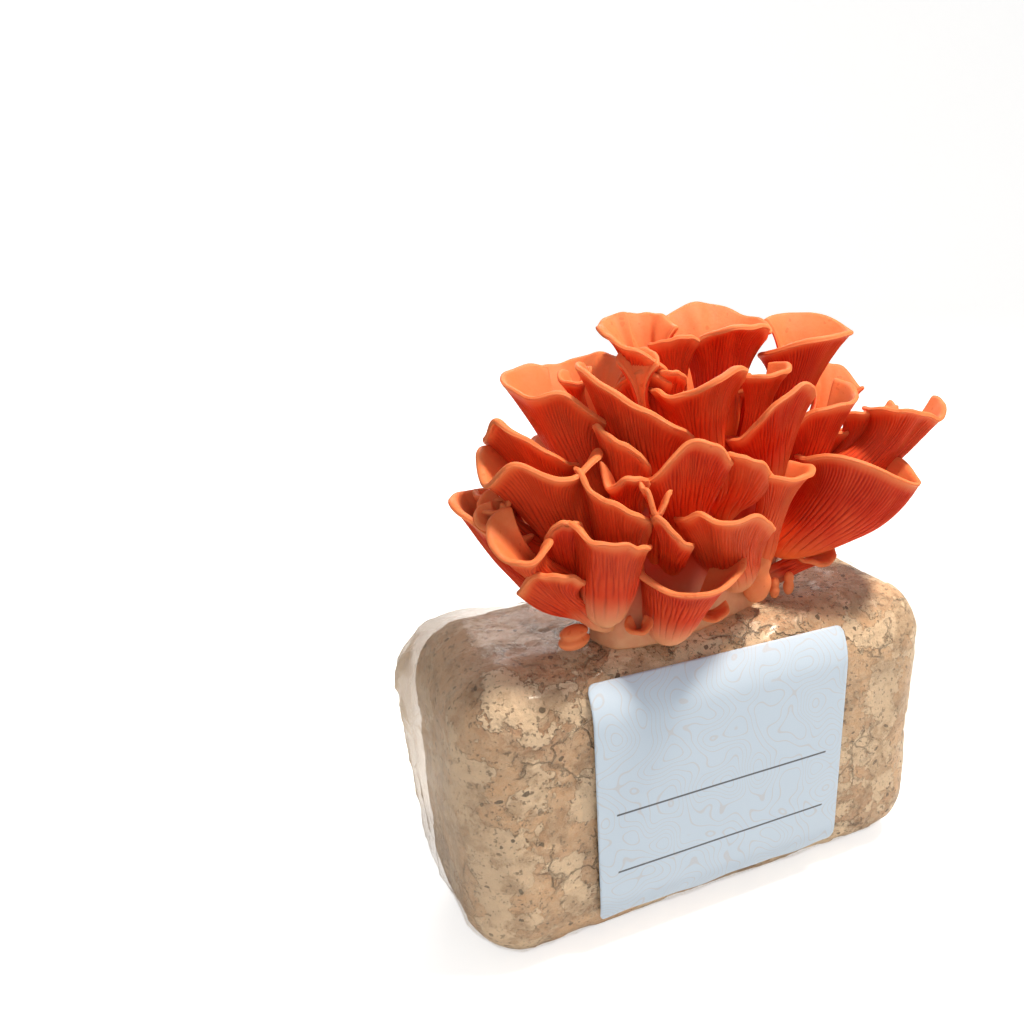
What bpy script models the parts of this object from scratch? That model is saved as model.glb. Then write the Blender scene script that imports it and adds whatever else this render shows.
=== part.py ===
"""Pink oyster mushroom grow kit: a block of grown-through sawdust in a clear bag, with a bouquet of caps.

Frame: metres, +Z up. The origin is the middle of the bag's flat underside, +X runs along the block
towards its squared end, and the label faces -Y. Sizes below are in millimetres.
"""

import math
from collections import namedtuple
from functools import partial

import bmesh
import bpy
import numpy as np
from mathutils.bvhtree import BVHTree

MM = 0.001

# The block and what wraps it
BAG = (210.0, 88.0, 125.0)  # length, depth and height over the bag
EDGE_ROUND = 25.0  # over the bag
FIT_GAP = 0.3  # between one piece and the next
CUT_GAP = 0.5  # between caps where one gives way to another
SHARP_ANGLE = math.radians(40)  # edges sharper than this stay sharp, the rest is shaded smooth
FILM = 0.6  # wall of the bag, thicker than real film so that it is a solid
LOOSE = 7.0  # how far the film stands off at its loosest
ALONG = 5  # facets along each long side of the wrap
ACROSS = 2  # facets along each short side
CORNER = 3  # facets round each upright corner
LABEL_WIDTH = 110.0
LABEL_X = -2.0  # middle of the label
LABEL_THICK = 0.4
LABEL_TURN_UNDER = 24.0  # degrees that the label follows the lower edge round
LABEL_TURN_OVER = 40.0  # degrees that it follows the upper edge round

# The shared foot that the caps grow from
TRUNK_CENTRE = (5.0, -8.0)
TRUNK_SPAN = (56.0, 18.0, 66.0)  # half length, half depth, height
TRUNK_YAW = 14.0  # degrees that its length is turned from the block's
TRUNK_SQUARE = 2.6  # 2 would be an ellipse in plan, more is squarer
SLIT_ROOM = 1.5  # the cut in the bag is this much wider than the foot

# The caps
CAP_ROWS = 4
STEM_RADIUS = 4.6
FLESH = 2.6  # thickness of a large cap

# Buds that have not opened: centre, half sizes and yaw
BUDS = (
    ("bud_left", (-56.0, -27.0, 129.8), (7.0, 4.5, 4.5), 20),
    ("pin_front", (32.0, -21.5, 129.8), (2.2, 2.2, 4.5), 0),
    ("pin_right", (39.0, -21.0, 130.3), (2.4, 2.4, 5.0), 0),
)

# root: inside the shared foot, where the stem comes from. mouth: middle of the funnel's mouth.
# radius: of the mouth. face: which way the gills look, 0 towards the label and +90 towards +X.
# tip: how far the mouth leans that way. wrap: half the angle that the fan goes round.
# spread and flare: how far the gill side opens from upright at the stem and at the margin. rises:
# height of the margin above the mouth at
# five places, from its left edge to its right one.
Cap = namedtuple("Cap", "name root mouth radius face tip wrap spread flare rises")

CAPS = (
    Cap("cap_front_bowl", (-18, -27, 126), (-15, -38, 152), 20, -22, 16, 112, 40, 62, (10, 5, 1, 3, -3)),
    Cap("cap_front_middle", (-38, -22, 130), (-45, -38, 172), 12, -30, 8, 88, 32, 30, (1, 2, 0, 0, -3)),
    Cap("cap_front_left", (-42, -16, 140), (-74, -30, 172), 13.02, -45, 14, 94, 28, 60, (-2, 1, 0, -1, 4)),
    Cap("cap_low_left", (-42.75, -18.75, 128.75), (-66.25, -29.25, 156.25), 11.7, -28, 1, 95, 30, 40,
        (-11, -8, -2, 0, -1, -4, -8)),
    Cap("cap_low_middle", (16, -18, 134), (-2, -38, 173), 18, -28, 2, 95, 44, 30,
        (-5, -2, 1, 0, 1, -3, -9)),
    Cap("cap_tube", (24, -16, 137), (22, -36, 184), 12.5, -18, 9, 150, 24, 36, (-5, -2, 0, 0, -2, -2, -4)),
    Cap("cap_right_big", (44, -6, 138), (62, -24, 178), 27, 8, 8, 105, 62, 56, (5, 5, 4, -3, -5)),
    Cap("cap_right_under", (50, 0, 130), (62, -20, 145), 12, 10, 6, 85, 44, 60, (0, 0, 0, 0, 0)),
    Cap("cap_centre", (-8, -18, 156), (-11, -26, 196), 17.5, -28, -6, 95, 30, 26,
        (-15, -15, -11, 0, -1, -7, -9)),
    Cap("cap_centre_right", (9, -16, 160), (7, -34, 190), 11.5, -28, -5, 95, 26, 24,
        (-6, -4, 0, 0, -2, -6, -8)),
    Cap("cap_third_row", (-30, -18, 146), (-41, -32, 182), 10, -5, 8, 82, 28, 44, (8, 4, 1, -4, -9)),
    Cap("cap_left_middle", (-44, -14, 148), (-62, -16, 198), 21, -40, 12, 120, 32, 40,
        (-7, -5, -9, 1, -6, -6, -8)),
    Cap("cap_far_left", (-44, -10, 136), (-78, -5, 166), 13.02, -75, 20, 78.96, 28, 52, (9, 0, 0, 1, -4)),
    Cap("cap_curl", (-28, -18, 160), (-36, -30, 188), 8.5, -28, 10, 95, 26, 36, (3, -3, -3, 0, 0, -2, -5)),
    Cap("cap_second_row", (-22, -12, 162), (-33, -24, 195), 9, -10, 6, 90, 38, 30, (6, 4, 2, -4, -8)),
    Cap("cap_left_small", (-36, -10, 160), (-59, -4, 203), 17, -28, 12, 100, 34, 30,
        (-9, -5, 4, 0, -8, -14, -20)),
    Cap("cap_left_upper", (-22, -8, 166), (-47, 2, 211), 16, -32, 12, 96, 32, 46, (3, 3, 3, -3, -6)),
    Cap("cap_slanted", (-12, -8, 170), (-22, -14, 206), 17, -2, 8, 88, 36, 24, (13, 8, 0, -8, -14)),
    Cap("cap_upper_middle", (6, -10, 176), (0, -16, 217), 17.5, -20, 15, 100, 26, 36,
        (-9, -6, -4, 0, 5, 1, -6)),
    Cap("cap_upper_small", (20, -10, 166), (29, -20, 212), 8, -18, 6, 80, 22, 40, (-2, 0, 0, 1, 2)),
    Cap("cap_right_fan", (24, -10, 158), (12, -27, 203), 14, -12, 4, 80, 30, 30, (-8, -4, 6, 6, 4)),
    Cap("cap_right_middle", (32, -2, 160), (36, -14, 200), 13, -2, 10, 90, 28, 40, (-8, 1, 7, -3, 4)),
    Cap("cap_far_right", (46, 4, 154), (93, -14, 194), 21, 25, 12, 112, 34, 60, (2, 2, 4, -1, -4)),
    Cap("cap_top_right", (40, 4, 172), (56, 0, 227), 17.5, 0, 2, 158, 26, 38, (-16, -14, -8, -4, -3, 1, 0)),
    Cap("cap_top_middle", (18, 2, 182), (23, 6, 232), 18, -20, 17, 100, 26, 36,
        (-12, -8, -3, 1, 1, -4, -11)),
    Cap("cap_top_left", (-6, -2, 180), (-19, 0, 228), 13, -30, 8, 100, 28, 46, (4, 0, 2, -1, -6)),
    Cap("cap_tucked_left", (-32, -18, 154), (-38, -36, 189), 5.1, 10, 4, 80, 18, 30, (3, 1, 0, -2, -4)),
    Cap("cap_tucked_low", (-14, -20, 144), (-25, -42, 172), 7.6, -28, 7, 95, 26, 26,
        (2, 3, 4, 0, -5, -7, -9)),
    Cap("cap_behind_left", (-18, -2, 168), (-44, 24, 212), 9, -50, 6, 78, 24, 40, (0, 2, 2, 0, 0)),
    Cap("cap_behind_middle", (-10, 2, 174), (-36, 16, 222), 8, -20, 8, 80, 24, 50, (0, 2, 3, 2, 0)),
    Cap("cap_behind_slanted", (2, -2, 180), (-6, 12, 216), 8, -10, 6, 76, 22, 36, (0, 2, 2, 0, -2)),
    Cap("cap_back_far_left", (-36, -8, 132), (-49, 22, 158), 13, -135, 14, 95, 30, 54, (0, 2, 0, 2, 0)),
    Cap("cap_back_left", (-22, -6, 132), (-24, 24, 162), 17, -170, 14, 110, 38, 56, (2, 0, 1, 0, 3)),
    Cap("cap_back_middle", (8, 0, 132), (10, 32, 164), 18, 176, 14, 110, 38, 56, (0, 2, 0, -1, 2)),
    Cap("cap_back_right", (34, 8, 134), (42, 36, 162), 17, 160, 14, 110, 38, 56, (2, 0, 0, 2, 0)),
    Cap("cap_back_far_right", (48, 8, 140), (78, 20, 170), 15, 115, 14, 95, 32, 54, (0, 1, 0, 0, 2)),
    Cap("cap_back_upper_left", (-24, -6, 154), (-36, 22, 186), 15, -160, 10, 90, 30, 46, (2, 0, 2, 0, 0)),
    Cap("cap_back_upper_middle", (0, -2, 160), (0, 24, 196), 16, -178, 10, 105, 38, 46, (0, 2, 0, 0, 3)),
    Cap("cap_back_upper_right", (24, 4, 158), (30, 30, 192), 16, 165, 10, 98, 38, 46, (2, 0, 0, 1, 0)),
    Cap("cap_back_end", (45, 6, 155), (72, 16.5, 200.5), 13, 152, 0, 100, 34, 40, (-5, -5, 0, 3, 2, 1, 0)),
    Cap("cap_back_top", (6, 0, 178), (4, 28, 220), 12, 172, 8, 84, 26, 40, (0, 2, 0, 0, 0)),
)

COLOURS = {
    "film": ((0.86, 0.82, 0.74), 0.2),
    "mycelium": ((0.76, 0.62, 0.47), 0.85),
    "paper": ((0.80, 0.86, 0.91), 0.5),
    "flesh": ((0.83, 0.27, 0.13), 0.6),
    "foot": ((0.80, 0.45, 0.30), 0.6),
}


def material(name):
    """A plain material of that finish, made once."""
    made = bpy.data.materials.get(name)
    if made:
        return made
    colour, roughness = COLOURS[name]
    made = bpy.data.materials.new(name)
    made.use_nodes = True
    shader = made.node_tree.nodes["Principled BSDF"]
    shader.inputs["Base Color"].default_value = (*colour, 1.0)
    shader.inputs["Roughness"].default_value = roughness
    return made


def add_object(name, points, faces, finish):
    """An object from points in millimetres, its faces turned outwards."""
    mesh = bpy.data.meshes.new(name)
    mesh.from_pydata([tuple(p) for p in np.asarray(points) * MM], [], [tuple(int(i) for i in f) for f in faces])
    bm = bmesh.new()
    bm.from_mesh(mesh)
    bmesh.ops.recalc_face_normals(bm, faces=bm.faces)
    bm.to_mesh(mesh)
    bm.free()
    mesh.materials.append(material(finish))
    made = bpy.data.objects.new(name, mesh)
    bpy.context.scene.collection.objects.link(made)
    return made


def unit(vectors):
    return vectors / np.linalg.norm(vectors, axis=-1, keepdims=True)


def smooth_step(x):
    x = np.clip(x, 0, 1)
    return x * x * (3 - 2 * x)


def along_margin(values, t):
    """A Catmull-Rom curve through values spaced evenly over t from -1 to 1."""
    padded = np.array([values[0], *values, values[-1]], float)
    place = (np.clip(t, -1, 1) + 1) / 2 * (len(values) - 1)
    i = np.minimum(place.astype(int), len(values) - 2)
    s = place - i
    p0, p1, p2, p3 = (padded[i + k] for k in range(4))
    return p1 + s * ((p2 - p0) + s * ((2 * p0 - 5 * p1 + 4 * p2 - p3) + s * (3 * p1 - p0 - 3 * p2 + p3))) / 2


# The block and its wrap


def block_top(x, y, inset=0.0):
    """Height of the rounded block's upper side at a place: of the bag's outside, less an inset."""
    dx = np.maximum(np.abs(x) - (BAG[0] / 2 - EDGE_ROUND), 0)
    dy = np.maximum(np.abs(y) - (BAG[1] / 2 - EDGE_ROUND), 0)
    return BAG[2] - EDGE_ROUND + np.sqrt(np.maximum((EDGE_ROUND - inset) ** 2 - dx**2 - dy**2, 0))


def level_outline():
    """Points of a rectangle's outline with their outward directions; each corner is one point, turned."""
    half = np.array([BAG[0] / 2 - EDGE_ROUND, BAG[1] / 2 - EDGE_ROUND])
    core, away = [], []
    for quarter in range(4):
        start, end = quarter * math.pi / 2, (quarter + 1) * math.pi / 2
        corner = half * np.array([(1, 1), (-1, 1), (-1, -1), (1, -1)][quarter])
        after = half * np.array([(-1, 1), (-1, -1), (1, -1), (1, 1)][quarter])
        for a in np.linspace(start, end, CORNER + 1):
            core.append(corner)
            away.append((math.cos(a), math.sin(a)))
        pieces = ALONG if quarter % 2 == 0 else ACROSS
        for k in range(1, pieces):
            core.append(corner + (after - corner) * k / pieces)
            away.append((math.cos(end), math.sin(end)))
    return np.array(core), np.array(away)


def ring(latitude, inset):
    """The rounded box's level outline at a latitude, from -90 underneath to 90 on top."""
    core, away = level_outline()
    swell = EDGE_ROUND - inset
    lat = math.radians(latitude)
    plan = core + away * swell * math.cos(lat)
    middle = BAG[2] - EDGE_ROUND if latitude > 0 else EDGE_ROUND
    return np.column_stack([plan, np.full(len(plan), middle + swell * math.sin(lat))])


def slack(points):
    """How far the film stands off the block: a pillow at the upper back and a fold at the -X end."""
    x, y, z = points.T
    pillow = np.exp(-(((x + 92) / 26) ** 2) - ((y - 26) / 26) ** 2 - ((z - 100) / 26) ** 2)
    fold = np.exp(-(((x + 105) / 9) ** 2) - ((z - 62) / 40) ** 2)
    return LOOSE * np.clip(pillow + 0.55 * fold, 0, 1)


def loosened(points):
    """The wrap with its slack: points pushed away from the block's middle line."""
    middle = np.clip(points, [-80, -19, 25], [80, 19, 100])
    return points + unit(points - middle + 1e-9) * slack(points)[:, None]


def yawed(plan):
    """Turn plan offsets from the block's axes to the shared foot's."""
    a = math.radians(TRUNK_YAW)
    x = plan[..., 0] * math.cos(a) + plan[..., 1] * math.sin(a)
    y = -plan[..., 0] * math.sin(a) + plan[..., 1] * math.cos(a)
    return np.stack([x, y], -1)


def foot_outline(directions, room):
    """The shared foot's outline in plan where these directions from its centre meet it, grown by some room."""
    half = np.array(TRUNK_SPAN[:2]) + room
    size = (np.abs(yawed(directions) / half) ** TRUNK_SQUARE).sum(1) ** (-1 / TRUNK_SQUARE)
    return directions * size[:, None] + np.array(TRUNK_CENTRE)


def in_foot(points, room):
    """Below 0 inside the shared foot or the bag, each grown by some room."""
    half = np.array(TRUNK_SPAN) + room
    local = yawed(points[..., :2] - np.array(TRUNK_CENTRE))
    plan = ((np.abs(local) / half[:2]) ** TRUNK_SQUARE).sum(-1) ** (2 / TRUNK_SQUARE)
    height = np.maximum((points[..., 2] - BAG[2]) / half[2], 0)
    above_bag = points[..., 2] - block_top(points[..., 0], points[..., 1]) - room
    return np.minimum(plan + height**2 - 1, above_bag)


def bridge(first, count, rows):
    """Faces between rows of points that each go once round."""
    faces = []
    for r in range(rows - 1):
        for k in range(count):
            a, b = first + r * count + k, first + r * count + (k + 1) % count
            faces.append((a, b, b + count, a + count))
    return faces


def skin(inset):
    """Rings round the block from its underside up to the cut round the shared foot."""
    rings = [ring(latitude, inset) for latitude in (-90, -60, -30, 0)]
    waist = ring(0, inset)
    for share in (0.5, 1.0):
        level = waist.copy()
        level[:, 2] = EDGE_ROUND + (BAG[2] - 2 * EDGE_ROUND) * share
        rings.append(level)
    rings += [ring(latitude, inset) for latitude in (25, 50)]
    edge = rings[-1][:, :2]
    cut = foot_outline(unit(edge - np.array(TRUNK_CENTRE)), SLIT_ROOM)
    for share in (0.5, 1.0):
        plan = edge * (1 - share) + cut * share
        rings.append(np.column_stack([plan, block_top(plan[:, 0], plan[:, 1], inset)]))
    return rings


def close_end(faces, start, count, middle):
    """Triangles from a ring of points to one in its middle."""
    faces += [(start + k, start + (k + 1) % count, middle) for k in range(count)]


def build_bag():
    """The film: one closed wall, open only at the cut in its top."""
    outside, inside = ([loosened(level) for level in skin(inset)] for inset in (0.0, FILM))
    count, rows = len(outside[0]), len(outside)
    total = count * rows
    faces = bridge(0, count, rows) + bridge(total, count, rows)
    for k in range(count):
        a, b = total - count + k, total - count + (k + 1) % count
        faces.append((a, b, b + total, a + total))
    close_end(faces, 0, count, 2 * total)
    close_end(faces, total, count, 2 * total + 1)
    add_object("grow_bag", np.concatenate(outside + inside + [[(0, 0, 0)], [(0, 0, FILM)]]), faces, "film")


def build_block():
    """The sawdust block, a clearance inside the film."""
    inset = FILM + FIT_GAP
    rings = skin(inset)
    plan = (rings[-1][:, :2] + np.array(TRUNK_CENTRE)) / 2
    rings.append(np.column_stack([plan, block_top(plan[:, 0], plan[:, 1], inset)]))
    count, total = len(rings[0]), len(rings[0]) * len(rings)
    faces = bridge(0, count, len(rings))
    close_end(faces, 0, count, total)
    close_end(faces, total - count, count, total + 1)
    ends = [[(0, 0, inset)], [(*TRUNK_CENTRE, BAG[2] - inset)]]
    add_object("substrate_block", np.concatenate(rings + ends), faces, "mycelium")


def build_label():
    """A paper label on the film's front, turned under the lower edge and over the upper one."""
    under = [(-math.radians(a), EDGE_ROUND) for a in np.linspace(LABEL_TURN_UNDER, 0, 4)]
    over = [(math.radians(a), BAG[2] - EDGE_ROUND) for a in np.linspace(0, LABEL_TURN_OVER, 5)]
    points = []
    for lift in (FIT_GAP, FIT_GAP + LABEL_THICK):
        for x in (LABEL_X - LABEL_WIDTH / 2, LABEL_X + LABEL_WIDTH / 2):
            for angle, level in under + over:
                reach = EDGE_ROUND + lift
                y = -(BAG[1] / 2 - EDGE_ROUND) - reach * math.cos(angle)
                points.append((x, y, level + reach * math.sin(angle)))
    n = len(under + over)
    faces = []
    for k in range(n - 1):
        for a, b in ((0, n), (2 * n, 3 * n), (0, 2 * n), (n, 3 * n)):
            faces.append((a + k, a + k + 1, b + k + 1, b + k))
    faces += [(0, n, 3 * n, 2 * n), (n - 1, 2 * n - 1, 4 * n - 1, 3 * n - 1)]
    add_object("paper_label", points, faces, "paper")


# The bouquet


def foot_solid(room):
    """The lump that all the stems run into, on the block in the bag's cut."""
    count = 28
    angles = np.linspace(0, 2 * math.pi, count, endpoint=False)
    outline = foot_outline(np.column_stack([np.cos(angles), np.sin(angles)]), room) - np.array(TRUNK_CENTRE)
    levels = []
    for share in (0.5, 0.8, 0.93, 1.0):
        plan = outline * share + np.array(TRUNK_CENTRE)
        levels.append(np.column_stack([plan, block_top(plan[:, 0], plan[:, 1], FILM) + 0.3]))
    for lat in (10, 25, 40, 55, 68, 80):
        plan = outline * math.cos(math.radians(lat)) + np.array(TRUNK_CENTRE)
        height = (TRUNK_SPAN[2] + room) * math.sin(math.radians(lat))
        levels.append(np.column_stack([plan, np.full(count, BAG[2] + height)]))
    ends = [[(*TRUNK_CENTRE, BAG[2] - FILM + 0.3)], [(*TRUNK_CENTRE, BAG[2] + TRUNK_SPAN[2] + room)]]
    total = count * len(levels)
    faces = bridge(0, count, len(levels))
    close_end(faces, 0, count, total)
    close_end(faces, total - count, count, total + 1)
    return np.concatenate(levels + ends), faces


def build_bud(name, centre, spans, yaw):
    """A small closed bud: an ellipsoid that is broader low down."""
    count, rows = 10, 5
    a = math.radians(yaw)
    angles = np.linspace(0, 2 * math.pi, count, endpoint=False)
    levels = []
    for lat in np.linspace(-60, 60, rows):
        c, s = math.cos(math.radians(lat)), math.sin(math.radians(lat))
        x, y = spans[0] * c * np.cos(angles), spans[1] * c * np.sin(angles)
        across = x * math.cos(a) - y * math.sin(a), x * math.sin(a) + y * math.cos(a)
        level = np.column_stack([*across, 0 * x + spans[2] * s])
        levels.append(level + np.array(centre))
    low, high = (np.array(centre) + np.array([0, 0, sign * spans[2]]) for sign in (-1, 1))
    total = count * rows
    faces = bridge(0, count, rows)
    close_end(faces, 0, count, total)
    close_end(faces, total - count, count, total + 1)
    add_object(name, np.concatenate(levels + [[low], [high]]), faces, "flesh")


def cap_axes(cap):
    face = math.radians(cap.face)
    out = np.array([math.sin(face), -math.cos(face), 0.0])
    side = np.array([math.cos(face), math.sin(face), 0.0])
    return out, side


def stem_radius(cap):
    return min(STEM_RADIUS, cap.radius * 0.34)


def cap_sheet(cap, u, t):
    """The gill side of a cap: u runs up from the stem (0) to the lip (1), t across the fan (-1 to 1).

    Each line up the fan is a cubic Bezier curve. It starts on a half circle round the stem and ends on
    the margin, an arc of the mouth with its rises, along the flare."""
    tip, flare, spread = (math.radians(v) for v in (cap.tip, cap.flare, cap.spread))
    out, side = cap_axes(cap)
    up = np.array([0.0, 0.0, 1.0])
    ahead = out * math.cos(tip) - up * math.sin(tip)
    axis = out * math.sin(tip) + up * math.cos(tip)
    turn = (t * math.radians(cap.wrap))[..., None]
    radial = np.cos(turn) * ahead + np.sin(turn) * side
    lip = np.array(cap.mouth) + cap.radius * radial + along_margin(cap.rises, t)[..., None] * axis
    tangent = math.cos(flare) * axis + math.sin(flare) * radial
    half_turn = (t * math.pi / 2)[..., None]
    around = np.cos(half_turn) * out + np.sin(half_turn) * side
    foot = np.array(cap.root) + stem_radius(cap) * around
    rise = unit(np.array(cap.mouth, float) - np.array(cap.root))
    reach = np.linalg.norm(lip - foot, axis=-1, keepdims=True)
    first = foot + unit(rise * math.cos(spread) + radial * math.sin(spread)) * reach * 0.40
    second = lip - tangent * reach * 0.40
    u = u[..., None]
    return (1 - u) ** 3 * foot + 3 * (1 - u) ** 2 * u * first + 3 * (1 - u) * u * u * second + u**3 * lip


def cap_sides(cap, u, t, top_side, grow=0.0):
    """Points on the gill side or, a flesh's thickness inside it, on the top side; both swollen by grow.

    Low on the stem the top side is the stem's back, so that a cut there is a full round."""
    step = 0.01
    across = cap_sheet(cap, u, np.minimum(t + step, 1)) - cap_sheet(cap, u, np.maximum(t - step, -1))
    along = cap_sheet(cap, np.minimum(u + step, 1), t) - cap_sheet(cap, np.maximum(u - step, 0), t)
    sheet = cap_sheet(cap, u, t)
    if not top_side:
        return sheet + unit(np.cross(across, along)) * grow
    stemward = (1 - smooth_step(u / 0.45))[..., None]
    normal = unit(stemward * cap_axes(cap)[0] + (1 - stemward) * unit(np.cross(across, along)))
    flesh = min(FLESH, 1.2 + cap.radius * 0.08)
    stem = np.maximum(2 * stem_radius(cap) * np.cos(t * math.pi / 2), 1.0)[..., None]
    thick = stemward * stem + (1 - stemward) * flesh
    return sheet - normal * (thick + grow)


def leaving_foot(cap, t, top_side):
    """The u at which each line up the fan has left the shared foot and the bag."""
    u = np.linspace(0, 0.8, 161)[:, None] * np.ones(len(t))
    inside = in_foot(cap_sides(cap, u, t[None, :] * np.ones_like(u), top_side), 0.6) < 0
    last = np.where(inside.any(0), len(u) - 1 - np.argmax(inside[::-1], axis=0), 0)
    return u[np.minimum(last + 1, len(u) - 1), 0]


def cap_solid(cap, grow=0.0):
    """Points and faces of a cap: its gill side, its top side and the rims between them."""
    columns, rows = (6 if cap.radius > 13 or cap.wrap > 120 else 5), CAP_ROWS
    t = np.linspace(-1, 1, columns + 1)
    share = np.linspace(0, 1, rows + 1)[:, None]
    sides = []
    for top_side in (False, True):
        start = leaving_foot(cap, t, top_side)[None, :]
        level = start + (1 - start) * share
        side = cap_sides(cap, level, t[None, :] * np.ones_like(share), top_side, grow)
        side[:, 0] += unit(side[:, 0] - side[:, 1]) * grow * 2
        side[:, -1] += unit(side[:, -1] - side[:, -2]) * grow * 2
        side[-1] += unit(side[-1] - side[-2]) * grow * 2
        sides.append(side)
    count = (rows + 1) * (columns + 1)
    grid = np.arange(count).reshape(rows + 1, columns + 1)
    around = np.concatenate([grid, grid[:, ::-1] + count, grid[:, :1]], axis=1)
    faces = [
        (around[r, c], around[r, c + 1], around[r + 1, c + 1], around[r + 1, c])
        for r in range(rows)
        for c in range(around.shape[1] - 1)
    ]
    for row in (0, rows):
        for c in range(columns):
            a, b = grid[row, c], grid[row, c + 1]
            faces.append((a, b, b + count, a + count))
    return np.concatenate([side.reshape(-1, 3) for side in sides]), faces


def tree(thing):
    bm = bmesh.new()
    bm.from_mesh(thing.data)
    made = BVHTree.FromBMesh(bm)
    bm.free()
    return made


def keep_largest(mesh):
    """Triangles only, and only the largest connected piece."""
    bm = bmesh.new()
    bm.from_mesh(mesh)
    bmesh.ops.remove_doubles(bm, verts=bm.verts, dist=5e-7)
    bmesh.ops.triangulate(bm, faces=bm.faces)
    left, pieces = set(bm.faces), []
    while left:
        piece, edge = set(), [left.pop()]
        while edge:
            face = edge.pop()
            piece.add(face)
            near = {other for e in face.edges for other in e.link_faces} & left
            left -= near
            edge += near
        pieces.append(piece)
    pieces.sort(key=lambda piece: sum(face.calc_area() for face in piece))
    bmesh.ops.delete(bm, geom=[f for piece in pieces[:-1] for f in piece], context="FACES")
    bm.to_mesh(mesh)
    bm.free()


def carved(thing, cutter):
    """One solid's mesh with another's shape cut out of it, and whether it came out closed."""
    cut = thing.modifiers.new("cut", "BOOLEAN")
    cut.operation, cut.solver, cut.use_self, cut.object = "DIFFERENCE", "EXACT", True, cutter
    graph = bpy.context.evaluated_depsgraph_get()
    graph.update()
    shape = bpy.data.meshes.new_from_object(thing.evaluated_get(graph))
    thing.modifiers.clear()
    keep_largest(shape)
    bm = bmesh.new()
    bm.from_mesh(shape)
    closed = all(part.is_manifold for part in [*bm.edges, *bm.verts])
    bm.free()
    return shape, closed


def give_way(thing, solid):
    """Cut a solid of this thing's neighbour, grown by a clearance, out of this thing."""
    for extra in (0.0, 0.05, 0.09, 0.13, 0.17, 0.22, 0.27, 0.33, 0.4, 0.5, 0.62, 0.76, 0.9):
        cutter = add_object("cutter", *solid(CUT_GAP + extra), "flesh")
        if not tree(cutter).overlap(tree(thing)):
            bpy.data.objects.remove(cutter)
            return
        shape, closed = carved(thing, cutter)
        bpy.data.objects.remove(cutter)
        if closed:
            thing.data = shape
            return


def build_caps():
    """The caps, front ones first; where a later one would touch an earlier one it gives way to it."""
    earlier = [foot_solid]
    for cap in CAPS:
        made = add_object(cap.name, *cap_solid(cap), "flesh")
        for solid in earlier:
            give_way(made, solid)
        earlier.append(partial(cap_solid, cap))


def clear_scene():
    for left in list(bpy.data.objects):
        bpy.data.objects.remove(left)


def main():
    clear_scene()
    build_block()
    build_bag()
    build_label()
    add_object("cluster_foot", *foot_solid(0.0), "foot")
    for bud in BUDS:
        build_bud(*bud)
    build_caps()
    for thing in bpy.data.objects:
        thing.data.shade_smooth()
        thing.data.set_sharp_from_angle(angle=SHARP_ANGLE)


if __name__ == "__main__":
    main()
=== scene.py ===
"""A mushroom grow kit: a bagged block of sawdust and mycelium with a bouquet of coral caps.

It is laid out as an add-on and run as a script. Lengths in the tables are millimetres, in the frame's
axes."""

import math
from collections import namedtuple

import bpy
import numpy as np
from bpy.props import FloatProperty, FloatVectorProperty, PointerProperty
from bpy.types import Operator, Panel, PropertyGroup
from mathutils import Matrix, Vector


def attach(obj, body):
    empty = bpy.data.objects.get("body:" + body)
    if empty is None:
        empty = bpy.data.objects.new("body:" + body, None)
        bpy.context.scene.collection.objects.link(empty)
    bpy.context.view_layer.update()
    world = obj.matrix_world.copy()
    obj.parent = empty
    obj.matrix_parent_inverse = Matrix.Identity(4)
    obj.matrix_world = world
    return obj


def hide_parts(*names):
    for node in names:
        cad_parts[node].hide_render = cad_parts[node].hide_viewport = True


bl_info = {
    "name": "Mushroom grow kit",
    "version": (1, 0, 0),
    "blender": (4, 5, 0),
    "location": "3D View > Sidebar > Grow kit",
    "description": "Builds the block, its bag and label, and the bouquet of caps",
    "category": "Object",
}

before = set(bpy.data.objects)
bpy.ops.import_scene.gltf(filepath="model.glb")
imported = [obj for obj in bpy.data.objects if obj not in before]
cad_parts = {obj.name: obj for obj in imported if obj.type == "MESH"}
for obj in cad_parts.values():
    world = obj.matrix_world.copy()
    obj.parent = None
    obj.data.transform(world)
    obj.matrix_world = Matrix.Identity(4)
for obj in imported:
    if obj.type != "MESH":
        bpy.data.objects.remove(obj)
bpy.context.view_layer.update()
MM = 0.001

BAG = (210.0, 88.0, 125.0)  # length, depth and height over the bag
EDGE_ROUND = 25.0
CORE = np.array([BAG[0] / 2 - EDGE_ROUND, BAG[1] / 2 - EDGE_ROUND])  # half sizes inside the rounding
LABEL_WIDTH, LABEL_X = 110.0, -2.0
LABEL_CORNER = 3.0
LABEL_UNDER, LABEL_OVER = 22.0, 40.0  # degrees round the lower and the upper edge
FOOT_CENTRE, FOOT_SPAN, FOOT_YAW, FOOT_SQUARE = (5.0, -8.0), (56.0, 18.0, 66.0), 14.0, 2.6
STEM_RADIUS = 4.6
# The glow on the high caps' stems is painted light.
LOW_ROOT = 137.0  # caps whose root is lower have a pale stem, the others a glowing one
FILM_INSET, CRUST_INSET = 1.9, 2.2  # inside the size over the bag
FILM_ROOM = 5.0  # how far the slack parts of the film stand off
FLATTENED = 14.0  # the underside is brought down to the floor from this height

# root: inside the shared foot, where the stem comes from. mouth: middle of the funnel's mouth.
# radius: of the mouth. face: which way the gills look, 0 towards the label and +90 towards +X.
# tip: how far the mouth leans that way. wrap: half the angle that the fan goes round.
# spread and flare: how far the gill side opens from upright at the stem and at the margin. rises:
# height of the margin above the mouth at even steps, from its left edge to its right one, level
# where none are given. The last rows, whose names don't begin with cap, are folds between the caps.
Cap = namedtuple("Cap", "name root mouth radius face tip wrap spread flare rises", defaults=[(0, 0)])

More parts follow.
